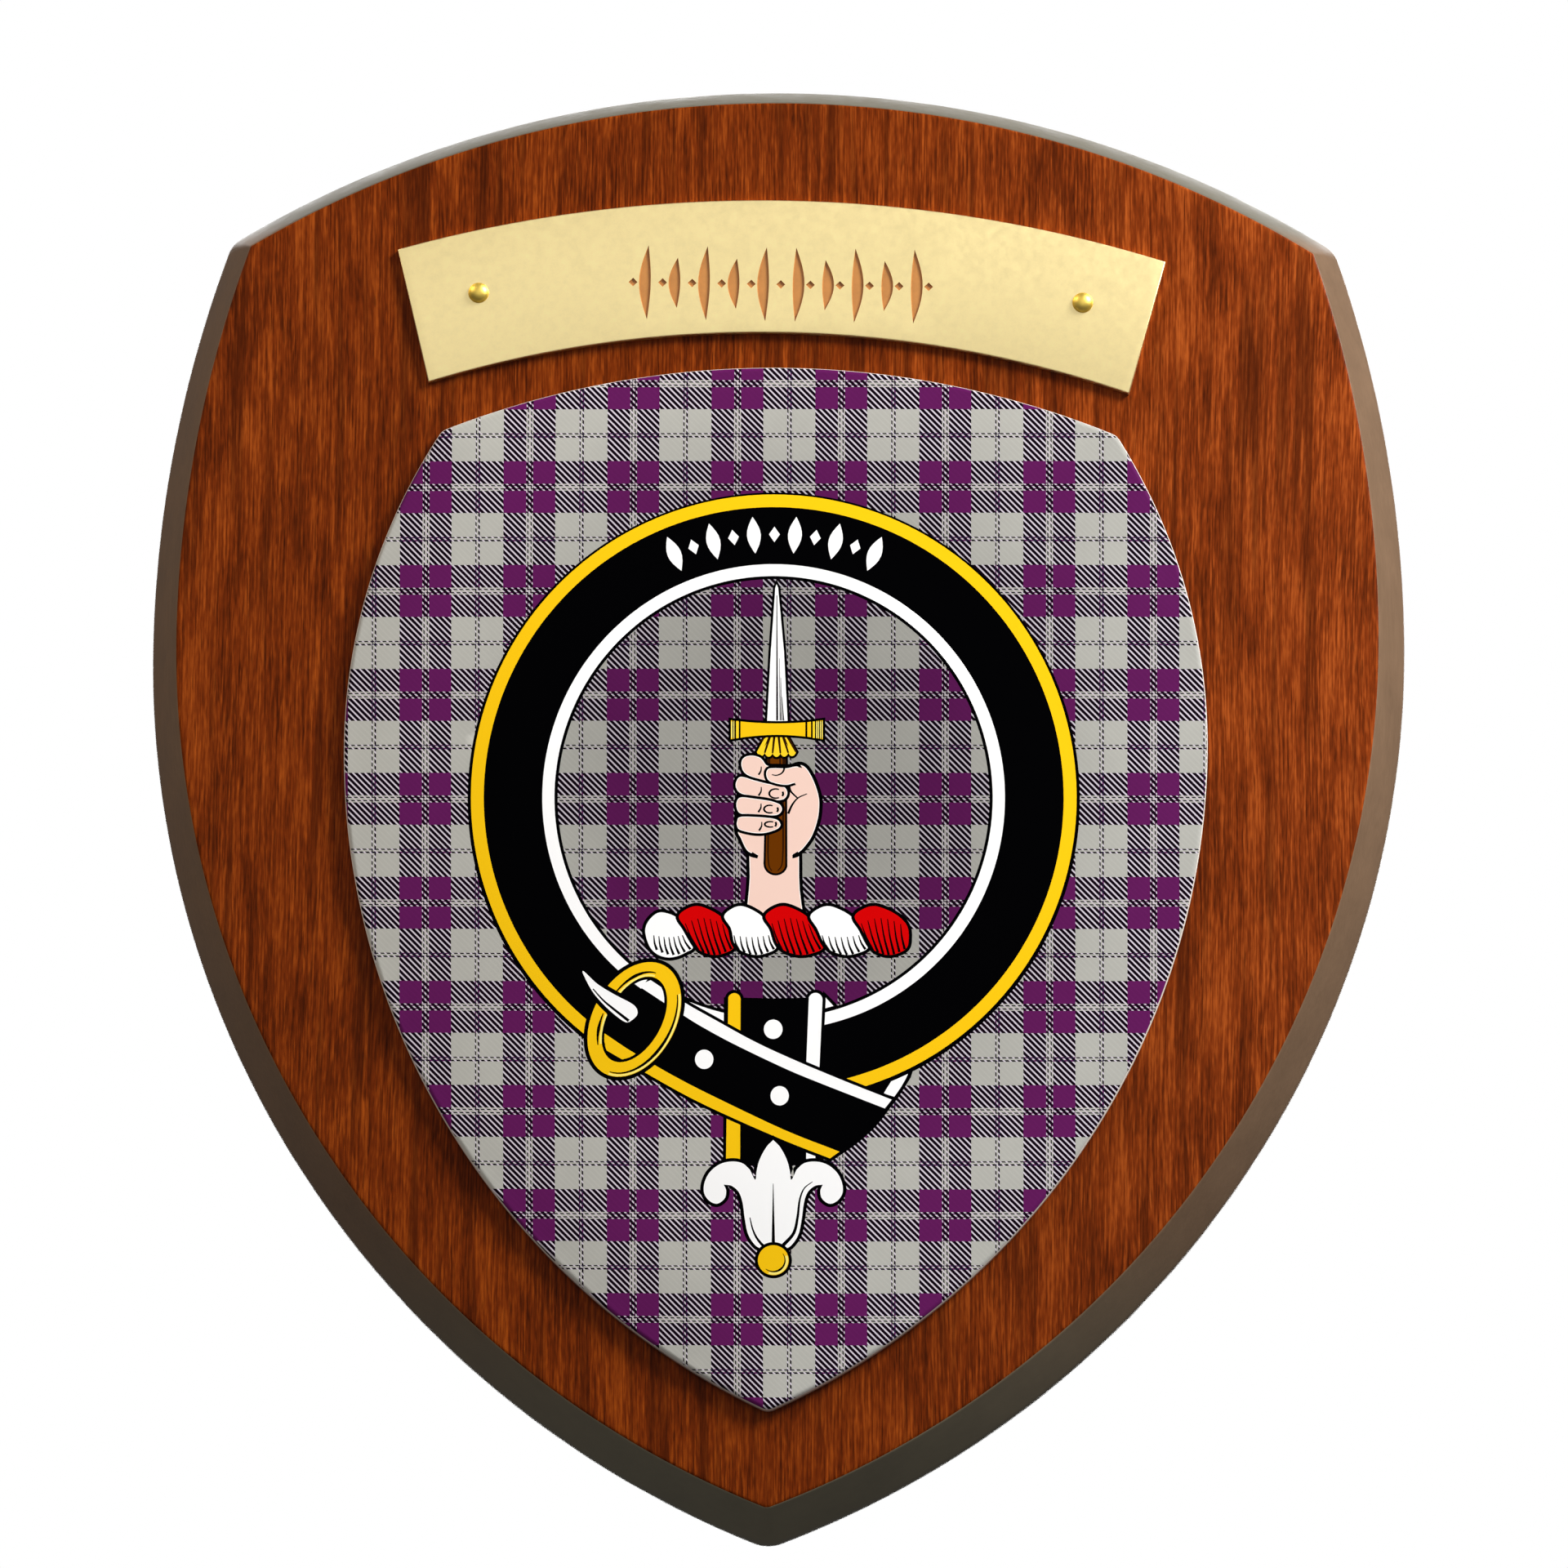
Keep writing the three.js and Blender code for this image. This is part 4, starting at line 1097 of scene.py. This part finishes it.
def printed_tartan(tartan, mottle):
    """Satin print: the badge's inks over the tartan, which is a little darker in the middle, and painted
    darker towards the upper right as painted shade against the key light on the dome. The tartan is laid on
    along the same rising line as the badge. The print ends on the rounded edge, and the upright side is plain
    and pale: partly the card's own edge, partly a painted highlight made lighter than the shade that lies on
    it."""
    material, graph, shader, position = new_material("printed_tartan")
    across, depth, up = graph.split(position)
    lean = graph.math("MULTIPLY", graph.math("SUBTRACT", FACE_Y - PRINT_HEIGHT, depth), PRINT_LEAN)
    cloth = graph.placed(tartan, Position=graph.vector("ADD", position, graph.joined(z=lean)))[0]
    reach = graph.length(graph.mapped(position, (1 / SHADE_REACH[0], 0, 1 / SHADE_REACH[1])))
    shade = graph.between(reach, *SHADE_RANGE, SHADE_MIDDLE, 1.0, smooth=True)
    # Painted shade: darker towards the upper right, evening out the key light on the dome.
    painted_shade = graph.math("MULTIPLY_ADD", across, PAINTED_SHADE_ACROSS, graph.math("MULTIPLY_ADD", up, PAINTED_SHADE_UP, 1.0))
    cloth = graph.scaled(cloth, graph.math("MULTIPLY", shade, painted_shade))
    cloud = graph.placed(mottle, Position=position, Size=14.0, Amount=0.12)[0]
    ink = graph.add("ShaderNodeAttribute", attribute_name=INK_ATTRIBUTE)
    colour = graph.mix(ink.outputs["Alpha"], shaded(graph, cloth, cloud), ink.outputs["Color"])
    side = graph.between(depth, PRINT_END - PRINT_END_BLUR, PRINT_END + PRINT_END_BLUR)
    # Painted highlight in part: the upright side is a pale card colour, lighter than its shade would leave
    # it.
    colour = graph.mix(side, colour, shaded(graph, srgb(232, 224, 210), cloud))
    set_shader(graph, shader, Base_Color=colour, Specular_IOR_Level=0.01,
               Roughness=graph.math("ADD", cloud, 0.42))
    return material


def satin_brass(mottle):
    """Pale satin brass, faintly cloudy."""
    material, graph, shader, position = new_material("satin_brass")
    cloud = graph.placed(mottle, Position=position, Size=1.4, Amount=0.14)[0]
    grit = graph.noise(position, 2.2, 3.0, 0.7)
    set_shader(graph, shader, Base_Color=shaded(graph, srgb(254, 233, 170), cloud), Metallic=1.0,
               Roughness=graph.math("ADD", cloud, 0.42), Normal=graph.bump(grit, 0.12, 0.05 * MM))
    return material


def mark_fill(mottle):
    """The copper-brown enamel in the plate's marks."""
    material, graph, shader, position = new_material("copper_brown_fill")
    cloud = graph.placed(mottle, Position=position, Size=3.0, Amount=0.3)[0]
    set_shader(graph, shader, Base_Color=shaded(graph, srgb(190, 128, 64), cloud), Roughness=0.4,
               Specular_IOR_Level=0.4)
    return material


def polished_brass(mottle):
    """The pins' polished brass, with faint rub marks."""
    material, graph, shader, position = new_material("polished_brass")
    rub = graph.placed(mottle, Position=position, Size=1.2, Amount=0.12)[0]
    set_shader(graph, shader, Base_Color=shaded(graph, srgb(250, 216, 104), rub), Metallic=1.0,
               Roughness=graph.math("ADD", rub, 0.44))
    return material


# Pieces

def slot_outline(radius, length, bottom_z, steps=20):
    """An upright slot with round ends, as a closed outline."""
    top = arc((0, bottom_z + length, radius), 0, math.pi, steps)
    bottom = arc((0, bottom_z, radius), math.pi, 2 * math.pi, steps)
    return np.concatenate([top, bottom])


def prism(outline, front, back):
    """A closed block with the given outline between two depths, as one part of a piece."""
    vertices, quads = skin([outline, outline], [front, back])
    count = len(outline)
    caps = [list(range(count)), list(range(2 * count - 1, count - 1, -1))]
    return vertices, quads.tolist() + caps, 0


def cut_out(piece, blocks, materials):
    """Cuts blocks out of a piece, one after the other. The cut faces have the blocks' own material."""
    cutters = [new_piece(f"cutter_{i}", [block], materials) for i, block in enumerate(blocks)]
    for cutter in cutters:
        cut = piece.modifiers.new("cut", "BOOLEAN")
        cut.operation, cut.solver, cut.object = "DIFFERENCE", "EXACT", cutter
        cut.material_mode = "TRANSFER"
    apply_modifiers(piece)
    for cutter in cutters:
        bpy.data.objects.remove(cutter)


def on_plate(points):
    """Carries points of the plate's own frame, x and z, to the board: a turn about the plate's middle."""
    c, s = math.cos(PLATE_TURN), math.sin(PLATE_TURN)
    return np.asarray(points, float) @ np.array([[c, -s], [s, c]]) + [0, PLATE_MIDDLE_Z]


def arch(crown, radius, x):
    """The height of an arched edge at x, from its crown's height and its radius."""
    return crown - radius + np.sqrt(radius**2 - x**2)


PIN_Z = PIN_RISE + (arch(PLATE_HEIGHT / 2, PLATE_TOP_RADIUS, PIN_X)
                    + arch(-PLATE_HEIGHT / 2, PLATE_BOTTOM_RADIUS, PIN_X)) / 2


def pin_holes(front, back):
    """Round blocks as wide as the pins' shanks, where the pins go."""
    return [prism(ellipse(place, PIN_SHANK_RADIUS, count=24), front, back)
            for place in on_plate([(-PIN_X, PIN_Z), (PIN_X, PIN_Z)])]


def make_board(face, edge, back, bare):
    """The shield-shaped board: a section with softened edges carried round the outline, a flat face and a
    flat back with a keyhole slot."""
    section = rounded_profile(
        [(CAP_INSET, 0), (0, 0), (0, -LAND_DEPTH), (BEVEL_INSET, FACE_Y), (CAP_INSET, FACE_Y)],
        [BACK_EDGE_SOFTNESS, LAND_SOFTNESS, FACE_EDGE_SOFTNESS],
    )
    outlines = [shield_outline(BOARD, inset) for inset in section[:, 0]]
    vertices, quads = skin(outlines, section[:, 1])
    count = len(outlines[0])
    to_back = 3 * count  # quads up to the middle of the softened back edge
    to_face = len(quads) - 3 * count
    first, last = list(range(count)), list(range(len(vertices) - count, len(vertices)))
    parts = [
        (vertices, [first] + quads[:to_back].tolist(), 2),
        (vertices, quads[to_back:to_face], 1),
        (vertices, quads[to_face:].tolist() + [last], 0),
    ]
    piece = new_piece("board_fine", parts, [face, edge, back])
    neck = slot_outline(KEYHOLE_NECK_RADIUS, KEYHOLE_LENGTH, KEYHOLE_ENTRY_Z)
    room = slot_outline(KEYHOLE_ENTRY_RADIUS, KEYHOLE_LENGTH, KEYHOLE_ENTRY_Z)
    entry = ellipse((0, KEYHOLE_ENTRY_Z), KEYHOLE_ENTRY_RADIUS, count=40)
    cut_out(piece, [
        prism(entry, -KEYHOLE_DEPTH, CUT_OVERRUN),
        prism(neck, -KEYHOLE_LIP - CUT_OVERRUN, CUT_OVERRUN),
        prism(room, -KEYHOLE_DEPTH, -KEYHOLE_LIP),
        *pin_holes(FACE_Y - CUT_OVERRUN, FACE_Y + PIN_SHANK_LENGTH - PLATE_THICKNESS),
    ], [bare])
    piece.data.set_sharp_from_angle(angle=math.radians(40))
    stands_for(piece, "board")


def make_inner_shield(material):
    """The domed inner shield. Its front is divided along every line of the badge, so that each ink has its
    own faces, and lies on the dome. The rounded edge, the upright side and the back close it."""
    drawing = badge()
    rim = shield_outline(SHIELD, SHIELD_EDGE_RADIUS)
    low, high = rim.min(0), rim.max(0)
    x, z = np.meshgrid(np.arange(low[0], high[0], DOME_GRID), np.arange(low[1], high[1], DOME_GRID))
    grid = np.stack([x.ravel(), z.ravel()], 1)
    circles = shield_circles(SHIELD, SHIELD_EDGE_RADIUS)
    grid = grid[inside_loop(rim, grid)]
    grid = grid[depth_inside(circles, grid) > DOME_GRID / 2]
    points, triangles = cut_flat([rim] + [on_print(loop) for loop, _ in drawing.shapes], grid)
    front = np.stack([points[:, 0], FACE_Y - dome_height(points), points[:, 1]], 1)
    angles = np.linspace(math.pi / 2, 0, 7)
    insets = [*(SHIELD_EDGE_RADIUS * (1 - np.cos(angles))), 0]
    heights = [*(SHIELD_EDGE_HEIGHT - SHIELD_EDGE_RADIUS * (1 - np.sin(angles))), 0]
    outlines = [shield_outline(SHIELD, inset) for inset in insets]
    side, quads = skin(outlines, FACE_Y - np.array(heights))
    back = list(range(len(side) - len(rim), len(side)))
    piece = new_piece("inner_shield_fine", [(front, triangles, 0), (side, quads.tolist() + [back], 0)],
                      [material], sharp_angle=50)
    ink_faces(piece, drawing)
    smooth_dome(piece)
    stands_for(piece, "inner_shield")


def ink_faces(piece, drawing):
    """Writes each face's ink on its corners: that of the topmost shape round the face's middle."""
    mesh = piece.data
    centres = np.zeros(len(mesh.polygons) * 3)
    mesh.polygons.foreach_get("center", centres)
    centres = centres.reshape(-1, 3) / MM
    flat = centres[:, [0, 2]]
    colours = np.zeros((len(flat), 4))
    for loop, colour in drawing.shapes:
        colours[inside_loop(on_print(loop), flat)] = colour
    colours[centres[:, 1] > FACE_Y - SHIELD_EDGE_HEIGHT / 2] = TARTAN
    sizes = np.zeros(len(mesh.polygons), int)
    mesh.polygons.foreach_get("loop_total", sizes)
    layer = mesh.color_attributes.new(INK_ATTRIBUTE, "FLOAT_COLOR", "CORNER")
    layer.data.foreach_set("color", np.repeat(colours, sizes, axis=0).ravel())


def smooth_dome(piece):
    """Gives the dome's vertices the normals of its formula: the slopes of its height, taken over a small
    step to both sides, and one towards the front."""
    mesh = piece.data
    places = np.zeros(len(mesh.vertices) * 3)
    mesh.vertices.foreach_get("co", places)
    places = places.reshape(-1, 3) / MM
    normals = np.zeros(len(places) * 3)
    mesh.vertex_normals.foreach_get("vector", normals)
    normals = normals.reshape(-1, 3)
    flat = places[:, [0, 2]]
    circles = shield_circles(SHIELD, SHIELD_EDGE_RADIUS)
    on_dome = (places[:, 1] < FACE_Y - SHIELD_EDGE_HEIGHT - 1e-3) & (depth_inside(circles, flat) > 0.2)
    step_x, step_z = [NORMAL_STEP, 0], [0, NORMAL_STEP]
    dome = flat[on_dome]
    slope_x = (dome_height(dome + step_x) - dome_height(dome - step_x)) / (2 * NORMAL_STEP)
    slope_z = (dome_height(dome + step_z) - dome_height(dome - step_z)) / (2 * NORMAL_STEP)
    normals[on_dome] = np.stack([-slope_x, -np.ones(len(dome)), -slope_z], 1)
    normals /= np.linalg.norm(normals, axis=1)[:, None]
    mesh.normals_split_custom_set_from_vertices(normals.tolist())


def plate_outline(inset, steps=90):
    """The plate's outline in its own frame: two arches that share no centre, and straight slanted ends,
    all drawn in by the inset."""
    end_slope = (PLATE_HALF_TOP - PLATE_HALF_BOTTOM) / PLATE_HEIGHT
    across = inset * math.hypot(1, end_slope)
    top_x = np.linspace(-1, 1, steps) * (PLATE_HALF_TOP - across - inset * end_slope)
    bottom_x = np.linspace(1, -1, steps) * (PLATE_HALF_BOTTOM - across + inset * end_slope)
    top = arch(PLATE_HEIGHT / 2 - inset, PLATE_TOP_RADIUS - inset, top_x)
    bottom = arch(-PLATE_HEIGHT / 2 + inset, PLATE_BOTTOM_RADIUS + inset, bottom_x)
    return np.concatenate([np.stack([top_x, top], 1), np.stack([bottom_x, bottom], 1)])


def mark_outlines():
    """The row of marks, the same on both sides of its middle: leaf strokes that bow away from it, long and
    short by turns, and a lozenge between each two."""
    marks = [lozenge(LOZENGE_SIZE)]
    for side in (-1, 1):
        for i in range(MARKS_EACH_SIDE):
            length = MARK_SHORT if i % 2 else MARK_LONG
            marks.append(leaf(length, MARK_WIDTH, side * MARK_CURVE, 13) + [side * MARK_PITCH * (i + 0.5), 0])
            marks.append(lozenge(LOZENGE_SIZE) + [side * MARK_PITCH * (i + 1), 0])
    return [mark + [0, MARK_Z] for mark in marks]


def make_nameplate(brass, fill):
    """The curved plate: a flat front with softened edges, and shallow marks with sloping walls and filled
    floors."""
    front_y, floor_y = -PLATE_THICKNESS, -PLATE_THICKNESS + MARK_DEPTH
    marks = mark_outlines()
    flat_edge = plate_outline(PLATE_EDGE_SOFTNESS)
    points, triangles = divide_plate(flat_edge, marks)
    middles = points[triangles].mean(1)
    in_mark = np.any([inside_loop(mark, middles) for mark in marks], axis=0)
    parts = [(at_depth(points, front_y), triangles[~in_mark], 0)]
    for mark in marks:
        floor = grown(mark, -MARK_SLOPE)
        walls, quads = skin([mark, floor], [front_y, floor_y])
        parts.append((walls, quads, 1))
        parts.append((at_depth(floor, floor_y), [list(range(len(floor)))], 1))
    angles = np.linspace(math.pi / 2, 0, 5)
    insets = [*(PLATE_EDGE_SOFTNESS * (1 - np.cos(angles))), 0]
    depths = [*(front_y + PLATE_EDGE_SOFTNESS * (1 - np.sin(angles))), 0]
    side, quads = skin([plate_outline(inset) for inset in insets], depths)
    back = list(range(len(side) - len(flat_edge), len(side)))
    parts.append((side, quads.tolist() + [back], 0))
    for i, (vertices, faces, material) in enumerate(parts):
        flat = on_plate(vertices[:, [0, 2]])
        placed = np.stack([flat[:, 0], vertices[:, 1] + FACE_Y, flat[:, 1]], 1)
        parts[i] = (placed, faces, material)
    piece = new_piece("nameplate_fine", parts, [brass, fill])
    cut_out(piece, pin_holes(FACE_Y - PLATE_THICKNESS - CUT_OVERRUN, FACE_Y + CUT_OVERRUN), [brass])
    piece.data.set_sharp_from_angle(angle=math.radians(35))
    stands_for(piece, "nameplate")


def at_depth(points, y):
    """Flat points at one depth."""
    return np.stack([points[:, 0], np.full(len(points), y), points[:, 1]], 1)


def divide_plate(edge, marks):
    """Divides the plate's front along the marks. The lower edge is hollow, so the triangles below it are
    left out."""
    points, triangles = cut_flat([edge, *marks])
    return points, triangles[inside_loop(edge, points[triangles].mean(1))]


def make_pin(name, x, brass):
    """A dome-headed pin: a profile of radius and depth turned about its axis, pointed at its end."""
    turn = np.linspace(math.pi / 2, 0, 12)
    head = np.stack([PIN_HEAD_RADIUS * np.cos(turn), -PIN_HEAD_HEIGHT * np.sin(turn)], 1)
    head[0, 0] = 0
    shank = [(PIN_SHANK_RADIUS, 0), (PIN_SHANK_RADIUS, PIN_SHANK_LENGTH - 2 * PIN_SHANK_RADIUS),
             (0, PIN_SHANK_LENGTH)]
    profile = np.concatenate([head, shank])
    place = on_plate([(x, PIN_Z)])[0]
    outlines = [ellipse(place, max(radius, 1e-9), count=40) for radius in profile[:, 0]]
    vertices, quads = skin(outlines, FACE_Y - PLATE_THICKNESS + profile[:, 1])
    piece = new_piece(f"{name}_fine", [(vertices, quads, 0)], [brass], sharp_angle=40)
    stands_for(piece, name)


# Camera, light and floor

CAMERA_RISE = math.radians(11.78)  # it looks up by this angle
CAMERA_AZIMUTH = math.radians(1.13)
CAMERA_ROLL = math.radians(0.668)
CAMERA_DISTANCE = 2700.0
CAMERA_TARGET = Vector((1.608, -8.0, 4.438))
CAMERA_LENS = 306.8
SENSOR_WIDTH = 36.0


def add_camera():
    """The photograph's view: from below and slightly from the right, a little rolled, from far away."""
    ahead = Vector((-math.sin(CAMERA_AZIMUTH), math.cos(CAMERA_AZIMUTH), 0))
    look = ahead * math.cos(CAMERA_RISE) + Vector((0, 0, math.sin(CAMERA_RISE)))
    up = -ahead * math.sin(CAMERA_RISE) + Vector((0, 0, math.cos(CAMERA_RISE)))
    right = Vector((math.cos(CAMERA_AZIMUTH), math.sin(CAMERA_AZIMUTH), 0))
    c, s = math.cos(CAMERA_ROLL), math.sin(CAMERA_ROLL)
    axes = Matrix([right * c + up * s, up * c - right * s, -look]).transposed()
    data = bpy.data.cameras.new("camera")
    data.lens, data.sensor_width = CAMERA_LENS, SENSOR_WIDTH
    data.clip_start, data.clip_end = 0.05, 100
    camera = bpy.data.objects.new("camera", data)
    camera.matrix_world = Matrix.Translation((CAMERA_TARGET - look * CAMERA_DISTANCE) * MM) @ axes.to_4x4()
    bpy.context.scene.collection.objects.link(camera)
    bpy.context.scene.camera = camera


def add_area_light(name, place, size, power, colour):
    """A square soft box that faces the plaque."""
    data = bpy.data.lights.new(name, "AREA")
    data.size, data.energy, data.color = size, power, colour
    light = bpy.data.objects.new(name, data)
    light.location = place
    light.rotation_euler = Vector(place).to_track_quat("Z", "Y").to_euler()
    bpy.context.scene.collection.objects.link(light)


# Place, size, power and colour
SOFT_BOXES = {
    "key": ((0.95, -0.62, 0.85), 0.5, 33, (1, 1, 1)),
    "front": ((0.0, -2.95, 0.62), 2.4, 12.5, (1, 1, 1)),
    "bounce": ((-1.1, -0.6, 1.0), 0.6, 7.5, (1.0, 0.86, 0.7)),
    "behind": ((0.0, 2.2, 0.5), 1.6, 48, (1, 1, 1)),
}
ROOM_LIGHT = (0.1, 0.22)  # of its dark and its pale side


def add_lights():
    """A key light from the upper right, a broad soft box in front, a weak warm bounce from the left, a soft
    box for the back, and a room that is pale above and in front and dark below and behind."""
    for name, (place, size, power, colour) in SOFT_BOXES.items():
        add_area_light(name, place, size, power, colour)
    world = bpy.data.worlds.new("studio")
    world.use_nodes = True
    graph = Graph(world.node_tree)
    background = world.node_tree.nodes["Background"]
    _, back, up = graph.split(graph.add("ShaderNodeTexCoord").outputs["Generated"])
    height = graph.math("MULTIPLY_ADD", back, -0.5, up)
    light = graph.between(height, -0.1, 0.3, *ROOM_LIGHT, smooth=True)
    seen = graph.add("ShaderNodeLightPath").outputs["Is Camera Ray"]
    strength = graph.math("MAXIMUM", light, seen)
    background.inputs["Color"].default_value = (1, 1, 1, 1)
    world.node_tree.links.new(strength, background.inputs["Strength"])
    bpy.context.scene.world = world
    bpy.context.scene.view_settings.view_transform = "Standard"


FLOOR_Z = -2.0
FLOOR_HALF = 30.0
FLOOR_COLOUR = srgb(232, 230, 226)
FLOOR_GLOW = 0.7


def add_floor():
    """A plain pale floor, far below. It has a glow of its own, which the plaque doesn't receive."""
    mesh = bpy.data.meshes.new("floor")
    corners = [(-1, -1), (1, -1), (1, 1), (-1, 1)]
    mesh.from_pydata([(x * FLOOR_HALF, y * FLOOR_HALF, FLOOR_Z) for x, y in corners], [], [(0, 1, 2, 3)])
    material, graph, shader, _ = new_material("pale_floor")
    set_shader(graph, shader, Base_Color=FLOOR_COLOUR, Roughness=0.9, Emission_Color=FLOOR_COLOUR,
               Emission_Strength=FLOOR_GLOW)
    material.cycles.emission_sampling = "NONE"
    mesh.materials.append(material)
    floor = bpy.data.objects.new("floor", mesh)
    floor.visible_diffuse = floor.visible_glossy = False
    bpy.context.scene.collection.objects.link(floor)


grain, mottle, tartan = wood_grain_group(), mottle_group(), tartan_group()
make_board(stained_wood(grain), sealed_edge(grain, mottle), plain_back(grain), bare_wood(grain))
make_inner_shield(printed_tartan(tartan, mottle))
make_nameplate(satin_brass(mottle), mark_fill(mottle))
brass = polished_brass(mottle)
make_pin("pin_left", -PIN_X, brass)
make_pin("pin_right", PIN_X, brass)
add_camera()
add_lights()
add_floor()
